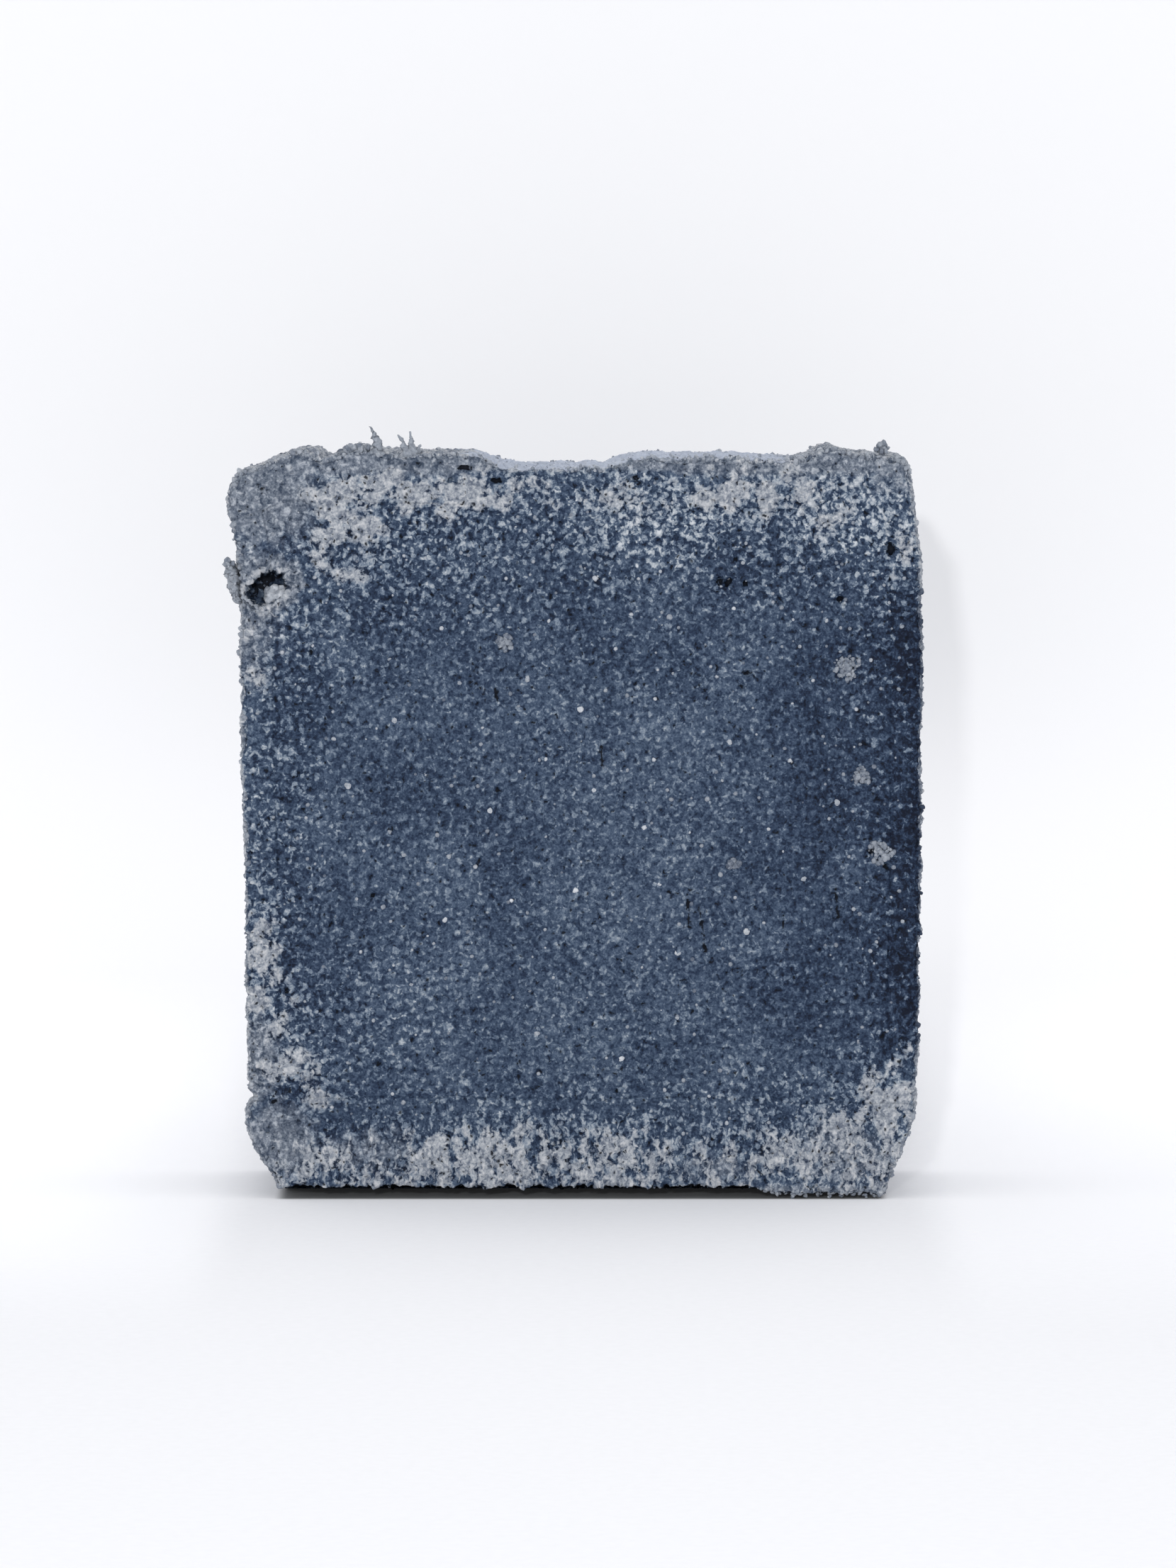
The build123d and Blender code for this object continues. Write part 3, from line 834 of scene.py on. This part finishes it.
# %% The soap material
def colour_soap(material):
    """The shader of the soap itself."""
    w, shader = shader_of(material)
    look = {}
    for key in looks:
        node = w.add("ShaderNodeAttribute", attribute_name=key)
        look[key] = node.outputs["Vector" if key == "rest" else "Fac"]
    soap = soap_recipe(w, look)
    grit = w.noise(look["rest"], 4.6, 3.0, 0.65).outputs[0]
    broad = w.noise(look["rest"], 0.11, 3.0, 0.5).outputs[0]
    tone = w.total(
        0.272,
        (w.total(soap["cloud"], -0.5), 0.34),
        (w.total(broad, -0.5), 0.35),
        (w.math("MULTIPLY", w.total(soap["worms"], -0.5), w.total(1.1, look["rough"])), 0.58),
        (w.total(grit, -0.5), 0.70),
        (soap["small"], 0.20),
        (w.math("MULTIPLY", soap["large"], look["rough"]), 0.10),
        (w.math("MULTIPLY", soap["pale"], w.total(0.30, look["rough"])), 0.19),
        (look["shade"], -0.09),
        (look["rough"], 0.07),
    )
    even = w.total(
        0.38,
        (w.total(soap["cloud"], -0.5), 1.1),
        (w.total(grit, -0.5), 1.1),
        (w.total(soap["worms"], -0.5), 1.7),
        (soap["small"], 0.26),
        (soap["large"], 0.20),
    )
    chalky = w.total(
        0.38,
        (w.total(grit, -0.5), 1.1),
        (w.total(soap["worms"], -0.5), 2.3),
        (soap["small"], 0.40),
    )
    haze = w.math("MULTIPLY", w.step(0.25, 0.8, w.total(look["haze"], (soap["cloud"], 0.9), -0.45)), 0.92)
    frost = w.step(0.35, 0.8, w.total((look["frost"], 0.75), (w.total(soap["cloud"], -0.5), 1.6), 0.05))
    frost = w.math("MULTIPLY", frost, w.step(0.0, 0.25, look["frost"]))
    colour = w.mix(haze, ramp(w, tone, slate), ramp(w, even, mauve), "RGBA")
    colour = w.mix(soap["crust"], colour, ramp(w, chalky, chalk), "RGBA")
    colour = w.mix(w.math("MULTIPLY", frost, 0.72), colour, frost_white, "RGBA")
    # Pores, and painted shade in the air pocket and under the front edge.
    colour = w.mix(w.math("MULTIPLY", soap["pores"], 0.93), colour, pore_and_shade_black, "RGBA")
    w.plug(shader.inputs["Base Color"], colour)
    w.plug(shader.inputs["Roughness"], w.mix(soap["crust"], 0.66, 0.9))
    shader.inputs["Specular IOR Level"].default_value = 0.16
    add_bump(w, shader, w.total(grit, (soap["cloud"], 0.8), (soap["small"], 0.4)), 0.12)


colour_soap(charcoal_soap)
for name, piece in bar_pieces.items():
    piece.data.materials.append(charcoal_soap)
    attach(piece, "root")
    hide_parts("core" if name.startswith("core") else name)
print("nodes in the soap material:", len(charcoal_soap.node_tree.nodes))

# %% [markdown]
# ## Lumps: one tree for every grain and crumb
#
# Granules, crumbs and scabs are all the same thing at different sizes: irregular lumps of soap. So
# one Geometry Nodes tree makes them all. It takes points, puts a small ball on each, sized by the
# point's own attribute, turns it at random, and then pushes the whole heap about with noise, so
# that no two lumps are alike. Where they go is worked out first, in Python.

# %% Build the lump tree
lumps, w, look, given, result = group_with(
    "Soap lumps",
    [
        ("Ball steps", "NodeSocketInt", 2),
        ("Flatness", "NodeSocketVector", (1.0, 1.0, 1.0)),
        ("Lumpiness", "NodeSocketFloat", 0.5),
        ("Finish", "NodeSocketMaterial", None),
    ],
    ["size"],
)
ball = w.add("GeometryNodeMeshIcoSphere")
w.plug(ball.inputs["Radius"], MM)
w.plug(ball.inputs["Subdivisions"], given["Ball steps"])
spread = w.vector("MULTIPLY", given["Flatness"], look["size"])
uneven = w.mix(given["Lumpiness"], (1.0, 1.0, 1.0), w.any_between(0.55, 1.25, 11), "VECTOR")
laid = w.then(
    "GeometryNodeInstanceOnPoints", given["Geometry"], Instance=ball.outputs["Mesh"],
    Rotation=w.any_between(0.0, 6.28, 7), Scale=w.vector("MULTIPLY", spread, uneven),
)
heap = w.then("GeometryNodeRealizeInstances", laid)
in_mm = w.vector("MULTIPLY", w.add("GeometryNodeInputPosition").outputs[0], IN_MM)
shove = w.vector("SUBTRACT", w.noise(in_mm, 2.6, 4.0, 0.7).outputs["Color"], (0.5, 0.5, 0.5))
strength = w.math("MULTIPLY", given["Lumpiness"], w.math("MINIMUM", look["size"], 0.6))
shove = w.scaled(shove, w.math("MULTIPLY", strength, 2 * MM))
smooth = w.then("GeometryNodeSetShadeSmooth", w.then("GeometryNodeSetPosition", heap, Offset=shove))
w.plug(result["Geometry"], w.then("GeometryNodeSetMaterial", smooth, Material=given["Finish"]))
print("nodes in the lump tree:", len(lumps.nodes))


# %% [markdown]
# The lumps have one material. Each lump carries a number, pale, from 0 for dark soap to 1 for ash,
# and a little noise on top keeps a lump from being one flat colour.

# %% The lump material
def lump_material():
    material = bpy.data.materials.new("loose_soap")
    w, shader = shader_of(material)
    pale = w.add("ShaderNodeAttribute", attribute_name="pale").outputs["Fac"]
    place = w.vector("MULTIPLY", w.add("ShaderNodeTexCoord").outputs["Object"], IN_MM)
    grit = w.noise(place, 3.4, 4.0, 0.65).outputs[0]
    tone = w.total(pale, (grit, 0.7), -0.35)
    stops = [
        (0.0, paint(40, 52, 73)), (0.3, paint(92, 101, 116)), (0.65, paint(146, 152, 161)),
        (1.0, paint(202, 205, 210)),
    ]
    w.plug(shader.inputs["Base Color"], ramp(w, tone, stops))
    shader.inputs["Roughness"].default_value = 0.72
    shader.inputs["Specular IOR Level"].default_value = 0.35
    add_bump(w, shader, grit, 0.1)
    return material


loose_soap = lump_material()


def heap_of(name, points, sizes, pale, replaced=(), slot="rind_soap", steps=2, lumpiness=0.5):
    """A finished piece made of lumps at these points. sizes are half widths, in millimetres."""
    points = np.asarray(points, float)
    sizes = np.broadcast_to(np.asarray(sizes, float), len(points))
    pale = np.broadcast_to(np.asarray(pale, float), len(points))
    seeds = mesh_from(name + "_points", points, [], {"size": sizes, "pale": pale})
    mesh = run_tree(seeds, lumps, Ball_steps=steps, Lumpiness=lumpiness, Finish=loose_soap)
    bpy.data.objects.remove(seeds)
    piece = in_scene(name, mesh)
    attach(piece, "root")
    if replaced:
        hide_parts(*replaced)
    print(name, len(points), "lumps,", len(mesh.polygons), "faces")


# %% [markdown]
# ## Granules that the wire sliced
#
# The clearest granules are pieces in the frame, so their places are read from it: the CAD mesh is
# walked from vertex to vertex, and each separate lump gives its middle and its size. Smaller ones
# are sown between them on the relief.

# %% Granules
def separate_lumps(node):
    """The middle and the half width of each separate lump of a CAD piece, in millimetres."""
    bm = bmesh.new()
    bm.from_mesh(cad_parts[node].data)
    bmesh.ops.remove_doubles(bm, verts=bm.verts, dist=1e-7)
    waiting, found = set(bm.verts), []
    while waiting:
        heap, lump = [waiting.pop()], []
        while heap:
            vertex = heap.pop()
            lump.append(vertex.co)
            for edge in vertex.link_edges:
                other = edge.other_vert(vertex)
                if other in waiting:
                    waiting.remove(other)
                    heap.append(other)
        lump = np.array(lump) / MM
        found.append(((lump.min(0) + lump.max(0)) / 2, np.ptp(lump[:, 0]) / 2))
    bm.free()
    return sorted(found, key=lambda lump: tuple(lump[0].round(3)))


chance = np.random.default_rng(41)
on_front = np.flatnonzero(k == 0)
on_back = np.flatnonzero(k == through_bar)
for name, face in (("front_grains", on_front), ("back_grains", on_back)):
    known = separate_lumps(name)
    places = [middle for middle, reach in known]
    sizes = [reach for middle, reach in known]
    weights = 0.25 + coarse[face] * (1 - 0.8 * np.clip(haze[face], 0, 1))
    weights[from_outline[face] < 1.5] = 0
    sown = chance.choice(face, 420, replace=False, p=weights / weights.sum())
    small = chance.uniform(0.12, 0.26, len(sown))
    places += list(surface[sown] - normals[sown] * (0.35 * small)[:, None])
    sizes += list(small)
    pale = np.concatenate([chance.uniform(0.55, 1.0, len(known)), chance.uniform(0.3, 0.8, len(sown))])
    heap_of(name + "_detail", places, sizes, pale, [name], "grains", lumpiness=0.35)

# %% [markdown]
# ## Crumbs along the edges
#
# Where the wire came out of the soap it tore, so crumbs cling to every edge of the cut faces, most
# of all along the top. They are sown on the skin near the edges and sit half in it.

# %% Edge crumbs
edge_place = np.flatnonzero((from_outline == 0) & (from_face <= 1.0))
for name, end in (("front", 0), ("back", through_bar)):
    near = edge_place[np.abs(k[edge_place] - end) * square <= 1.0]
    in_furrow = (np.abs(surface[near, 0] + 2.5) < 9) & (surface[near, 2] > 70)
    weights = 1.0 + 2.0 * (surface[near, 2] > 74) + 0.8 * (surface[near, 2] < 12) - 0.8 * in_furrow
    weights *= 1 - 0.7 * ((surface[near, 2] < 2) & (surface[near, 0] < 18))
    sown = chance.choice(near, 700, replace=False, p=weights / weights.sum())
    sizes = 0.11 + 0.26 * chance.random(len(sown)) ** 2.5
    places = surface[sown] - normals[sown] * (0.1 * sizes)[:, None]
    places[:, 2] = np.maximum(places[:, 2], 1.5 * sizes + 0.1)
    pale = 0.42 + 0.28 * chance.random(len(sown)) + 0.12 * crust[sown] - 0.25 * shade[sown]
    heap_of(f"edge_crumbs_{name}", places, sizes, pale, lumpiness=0.9)


# %% [markdown]
# ## The heaps that the frame has
#
# The other loose pieces are small heaps: a crumb perched on a corner, stubs on the top edge, crumbs
# at the foot, a knob on the torn flap, the lump in the air pocket and the scabs of ash on the
# front. Most fill the box of their CAD piece. The knot at the foot of the slivers has no CAD piece.

# %% Small heaps
def heap_places(middle, reach, count, press=1.0):
    """Places spread through an oval, denser in the middle."""
    direction = chance.normal(size=(count, 3))
    direction /= np.linalg.norm(direction, axis=1)[:, None]
    return np.asarray(middle) + direction * (chance.random(count) ** press)[:, None] * np.asarray(reach)


def heap_in(node, count, size, pale, **shape):
    """A heap that fills each separate lump of a CAD piece."""
    places, sizes = [], []
    for middle, reach in separate_lumps(node):
        low, high = middle - reach, middle + reach
        places.append(heap_places(middle, 0.75 * (high - low) / 2, count, 0.6))
        sizes.append(chance.uniform(0.6, 1.2, count) * size * reach)
    places, sizes = np.vstack(places), np.concatenate(sizes)
    pale = chance.uniform(pale - 0.14, pale + 0.14, len(places))
    heap_of(node + "_detail", places, sizes, pale, [node], **shape)


heap_in("foot_crumbs", 7, 0.5, 0.55, lumpiness=0.8)
heap_in("perched_crumb", 26, 0.3, 0.5, steps=3, lumpiness=0.9)
heap_in("burr_stubs", 8, 0.55, 0.5, lumpiness=0.9)
shreds, knob_crumbs, knot_crumbs, cavity_crumbs = 60, 14, 60, 46
torn = chance.random(shreds)
torn_line = np.stack([-35.6 - 0.85 * torn, np.full(shreds, -half_thickness + 1.5), 62.8 + 3.2 * torn], 1)
knob_middle = separate_lumps("flap_knob")[0][0] + (-0.1, 0, 0.5)
knob_places = heap_places(knob_middle, (0.45, 0.5, 0.4), knob_crumbs)
torn_places = torn_line + chance.normal(size=(shreds, 3)) * (0.2, 0.6, 0.15)
knob_sizes = chance.uniform(0.12, 0.32, shreds + knob_crumbs)
knob_pale = chance.uniform(0.42, 0.72, shreds + knob_crumbs)
heap_of(
    "flap_knob_detail", [*torn_places, *knob_places], knob_sizes, knob_pale, ["flap_knob"], lumpiness=0.9
)
knot = (-23.0, -half_thickness + 1.0, 77.75)  # a knot of torn soap at the foot of the slivers
knot_places = heap_places(knot, (1.6, 0.5, 0.5), knot_crumbs)
knot_sizes = chance.uniform(0.18, 0.42, knot_crumbs)
knot_pale = chance.uniform(0.4, 0.66, knot_crumbs)
heap_of("burr_knot", knot_places, knot_sizes, knot_pale, lumpiness=0.9)

lump_low, lump_high = corners("cavity_lump")
lump_middle, lump_reach = (lump_low + lump_high) / 2, (lump_high - lump_low) / 2
lump_spread = lump_reach * (0.75, 0.35, 0.62)
lump_places = heap_places(lump_middle + (-0.1, -0.75, 0.45), lump_spread, cavity_crumbs, 0.4)
lump_sizes = chance.uniform(0.35, 0.7, cavity_crumbs)
lump_pale = chance.uniform(0.6, 0.85, cavity_crumbs)
heap_of(
    "cavity_lump_detail", lump_places, lump_sizes, lump_pale, ["cavity_lump"], "pale_soap", steps=3,
    lumpiness=0.7,
)


# %% Scabs of ash
def scab(node):
    """Flat lumps that creep over the front face from the middle of each CAD patch."""
    places, sizes, pale = [], [], []
    for middle, reach in separate_lumps(node):
        count = int(70 * reach)
        pale += list(chance.uniform(0.34, 0.68, count) * min(1.0, reach))
        angle, away = chance.uniform(0, 2 * pi, count), chance.random(count) ** 0.7
        arms = 0.6 + 0.45 * np.abs(np.cos(1.5 * angle + middle[0]))
        xz = np.stack([np.cos(angle), np.sin(angle)], 1) * (away * arms * reach)[:, None]
        for along_x, along_z in xz:
            spot = middle + (along_x, 0, along_z)
            nearest = on_front[np.argmin(np.hypot(x[on_front] - spot[0], z[on_front] - spot[2]))]
            places.append(surface[nearest])
            sizes.append(chance.uniform(0.12, 0.3))
    heap_of(node + "_detail", places, sizes, pale, [node], "pale_soap", lumpiness=0.9)


scab("ash_patches")


# %% [markdown]
# ## Slivers
#
# The wire drew a few threads of soap upwards as it left the top: one tall and bent, one forked. A
# sliver is a ring that travels along a short path and shrinks to a point, with a wobble so that it
# looks torn. The flap beside the air pocket is the same thing, but broad and flat.

# %% Slivers and the flap
wobble_seed = 1795024454
noise.seed_set(wobble_seed)  # noise_vector goes by the clock otherwise, and no two runs would be alike


def sliver(path, radii, sides=9, rings=16, wobble=0.16):
    """Points and faces of a tapering, wobbling tube. radii are (half width in X, half depth in Y)."""
    share = np.linspace(0, 1, rings)
    line = through([(p[0], p[2]) for p in path], share)
    line_y = np.interp(share, np.linspace(0, 1, len(path)), [p[1] for p in path])
    wide = np.interp(share, np.linspace(0, 1, len(radii)), [r[0] for r in radii])
    deep = np.interp(share, np.linspace(0, 1, len(radii)), [r[1] for r in radii])
    points = []
    for (middle_x, middle_z), middle_y, half_x, half_y in zip(line, line_y, wide, deep):
        for n in range(sides):
            angle = 2 * pi * n / sides
            spot = Vector((middle_x + half_x * cos(angle), middle_y + half_y * sin(angle), middle_z))
            shift = noise.noise_vector(spot * 1.7) * wobble + noise.noise_vector(spot * 4.5) * wobble * 0.6
            points.append(spot + shift * min(1.0, 3.5 * half_x))
    rows = np.arange(rings * sides).reshape(rings, sides)
    along = np.roll(rows, -1, axis=1)
    faces = np.stack([rows[:-1], along[:-1], along[1:], rows[1:]], -1).reshape(-1, 4).tolist()
    faces += [rows[0][::-1].tolist(), rows[-1].tolist()]
    return points, faces


def sliver_piece(name, slivers, pale, replaced):
    """A finished piece of one or more slivers."""
    points, faces = [], []
    for more_points, more_faces in slivers:
        faces += [tuple(v + len(points) for v in face) for face in more_faces]
        points += more_points
    points = np.array([tuple(p) for p in points])
    piece = mesh_from(name, points, faces, {"pale": np.full(len(points), pale)})
    piece.data.materials.append(loose_soap)
    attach(piece, "root")
    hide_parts(replaced)
    print(name, len(faces), "faces")


burr_low, burr_high = corners("tall_burr")
burr_y = (burr_low[1] + burr_high[1]) / 2
tall_path = [
    (-20.95, burr_y, 77.0), (-21.0, burr_y, 78.1), (-21.25, burr_y, 79.2),
    (burr_low[0] + 0.3, burr_y, burr_high[2] + 0.2),
]
tall_radii = [(0.75, 0.5), (0.42, 0.35), (0.32, 0.26), (0.17, 0.14)]
sliver_piece("tall_burr_detail", [sliver(tall_path, tall_radii, rings=30, wobble=0.42)], 0.6, "tall_burr")
fork_low, fork_high = corners("forked_burr")
fork_y = (fork_low[1] + fork_high[1]) / 2
prongs = [
    [(-17.7, fork_y, 76.9), (-18.1, fork_y, 78.0), (fork_low[0] - 0.05, fork_y, 79.2)],
    [(-17.2, fork_y, 76.9), (-17.45, fork_y, 78.2), (-17.65, fork_y, fork_high[2] + 0.35)],
    [(-16.9, fork_y, 76.9), (-16.8, fork_y, 77.6), (-16.6, fork_y, 78.2)],
]
prong_radii = [(0.62, 0.4), (0.32, 0.25), (0.09, 0.08)]
fork = [sliver(path, prong_radii, rings=24, wobble=0.34) for path in prongs]
sliver_piece("forked_burr_detail", fork, 0.6, "forked_burr")
flap_low, flap_high = corners("torn_flap")
flap_y = flap_low[1] + 1.7
flap_path = [
    (-35.3, flap_y, flap_low[2] - 0.3), (-35.75, flap_y, 63.4), (-36.05, flap_y, 64.8),
    (-36.35, flap_y, flap_high[2] + 0.1),
]
flap_radii = [(0.35, 0.8), (0.62, 1.6), (0.72, 1.7), (0.42, 1.1)]
flap = sliver(flap_path, flap_radii, sides=28, rings=40, wobble=0.42)
lip_y = -half_thickness - 0.12
lip_path = [(-34.6, lip_y, 62.6), (-33.7, lip_y, 61.6), (-32.6, lip_y, 60.9), (-31.2, lip_y, 60.5)]
pocket_lip = sliver(lip_path, [(0.2, 0.16), (0.3, 0.22), (0.3, 0.22), (0.14, 0.12)], rings=40, wobble=0.4)
sliver_piece("torn_flap_detail", [flap, pocket_lip], 0.62, "torn_flap")

# %% [markdown]
# ## The set
#
# A white sweep of paper: floor, bend and backdrop in one sheet, close behind the bar, so that the bar's
# shadow falls faintly on the paper to its right. The paper also glows, which is painted light, and is darker
# under the bar's front edge, which is a painted contact shadow.

# %% Sweep
paper_gap = 47.0


def sweep():
    """The paper, its material, and its place on the stage."""
    reach, bend, back_y, height = 900.0, 44.0, half_thickness + paper_gap, 700.0
    profile = [(-1400.0, 0.0), (back_y - bend, 0.0)]
    profile += [
        (back_y - bend + bend * sin(radians(a)), bend - bend * cos(radians(a))) for a in range(4, 91, 4)
    ]
    profile.append((back_y, height))
    points = np.array([(side, at_y, at_z) for at_y, at_z in profile for side in (-reach, reach)])
    faces = [(2 * n, 2 * n + 1, 2 * n + 3, 2 * n + 2) for n in range(len(profile) - 1)]
    paper = mesh_from("paper_sweep", points, faces, {})
    material = bpy.data.materials.new("white_paper")
    w, shader = shader_of(material)
    place = w.vector("MULTIPLY", w.add("ShaderNodeTexCoord").outputs["Object"], IN_MM)
    axes = w.add("ShaderNodeSeparateXYZ")
    w.plug(axes.inputs[0], place)
    across_x, along_y, up_z = axes.outputs
    from_middle = w.math("ABSOLUTE", across_x, 0.0)
    # Painted light: the paper glows, more from the floor up the bend, in a band low on the backdrop, and on
    # the floor left of the bar and beside it.
    glow = w.step(0.0, 26.0, up_z)
    bright = w.math("MULTIPLY", w.step(0.0, 16.0, up_z), w.step(84.0, 22.0, up_z))
    high = w.step(26.0, 62.0, up_z)
    low = w.math("MULTIPLY", w.step(18.0, 4.0, up_z), w.step(-120.0, -10.0, along_y))
    left = w.math("MULTIPLY", w.step(-34.0, -54.0, across_x), low)
    beside = w.math("MULTIPLY", w.step(33.0, 40.0, from_middle), low)
    fibre = w.noise(place, 0.9, 3.0).outputs[0]
    floor = ramp(w, fibre, [(0.3, (0.80, 0.80, 0.815, 1)), (0.7, (0.82, 0.82, 0.835, 1))])
    # Painted contact shadow: the floor under the bar's front edge is darker and glows less.
    forward = w.step(-half_thickness - 0.2, -half_thickness + 0.8, along_y)
    painted_contact_shadow = w.math("MULTIPLY", w.step(32.0, 30.5, from_middle), forward)
    painted_contact_shadow = w.math("MULTIPLY", painted_contact_shadow, w.step(half_thickness, half_thickness - 2.0, along_y))
    floor = w.mix(painted_contact_shadow, floor, (0.30, 0.31, 0.32, 1), "RGBA")  # painted contact shadow: the floor is darker under the bar's front edge
    # The backdrop is darker low down and glows more there, so that the bar's cast shadow fades downwards:
    # painted light.
    wall = w.mix(high, (0.22, 0.22, 0.222, 1), (0.66, 0.66, 0.667, 1), "RGBA")
    w.plug(shader.inputs["Base Color"], w.mix(glow, floor, wall, "RGBA"))
    shader.inputs["Emission Color"].default_value = (0.94, 0.945, 0.98, 1)
    lift = w.math("MULTIPLY", glow, w.total(0.634, (high, -0.494)))
    glowing = w.total(0.09, lift, (bright, 0.095), (left, 0.05), (beside, 0.12), (painted_contact_shadow, -0.08))
    w.plug(shader.inputs["Emission Strength"], glowing)
    shader.inputs["Roughness"].default_value = 0.9
    shader.inputs["Specular IOR Level"].default_value = 0.1
    one_way = w.add("ShaderNodeMixShader")  # the sheet can be looked through from behind
    w.plug(one_way.inputs[0], w.add("ShaderNodeNewGeometry").outputs["Backfacing"])
    w.plug(one_way.inputs[1], shader.outputs[0])
    w.plug(one_way.inputs[2], w.add("ShaderNodeBsdfTransparent").outputs[0])
    w.plug(material.node_tree.nodes["Material Output"].inputs["Surface"], one_way.outputs[0])
    paper.data.materials.append(material)


sweep()
print("the paper stands", paper_gap, "mm behind the bar")

# %% [markdown]
# ## Light
#
# Nearly all the light is the even glow of a white tent, which is the world. A large soft lamp at
# the upper left in front gives the granules their lit side and puts the shadow on the paper.

# %% Lamps
def soft_lamp(name, place_mm, size_mm, power, aim_mm):
    """A square area lamp that looks at aim_mm."""
    lamp = bpy.data.lights.new(name, "AREA")
    lamp.energy, lamp.size = power, size_mm * MM
    obj = in_scene(name, lamp)
    obj.location = Vector(place_mm) * MM
    obj.rotation_euler = (Vector(aim_mm) - Vector(place_mm)).to_track_quat("-Z", "Y").to_euler()


soft_lamp("key_lamp", (-84, -1080, 280), 34, 2.8, (0, 0, 40))
world = bpy.data.worlds.new("white_tent")
bpy.context.scene.world = world
world.use_nodes = True
world.node_tree.nodes["Background"].inputs["Color"].default_value = (0.97, 0.98, 1.0, 1)
world.node_tree.nodes["Background"].inputs["Strength"].default_value = 1.0
bpy.context.scene.view_settings.view_transform = "Standard"
bpy.context.scene.view_settings.look = "None"

# %% [markdown]
# ## Camera
#
# A long lens, almost a metre away and a little above the bar, so that its sides don't show and a
# thin strip of the top does, in the furrow.

# %% Camera
view_width = 121.45  # how much of the front face's plane fits across the picture
camera_distance, camera_height = 850.0, 108.0
target = Vector((0.72, -half_thickness, 43.18))
lens = bpy.data.cameras.new("camera")
lens.sensor_fit = "HORIZONTAL"
lens.sensor_width = 36.0
eye = Vector((target.x, -half_thickness - camera_distance, camera_height))
lens.lens = lens.sensor_width * (eye - target).length / view_width
lens.clip_start, lens.clip_end = 0.01, 10.0
camera = in_scene("camera", lens)
camera.location = eye * MM
camera.rotation_euler = (target - eye).to_track_quat("-Z", "Y").to_euler()
bpy.context.scene.camera = camera
print("lens", round(lens.lens), "mm")

# %% [markdown]
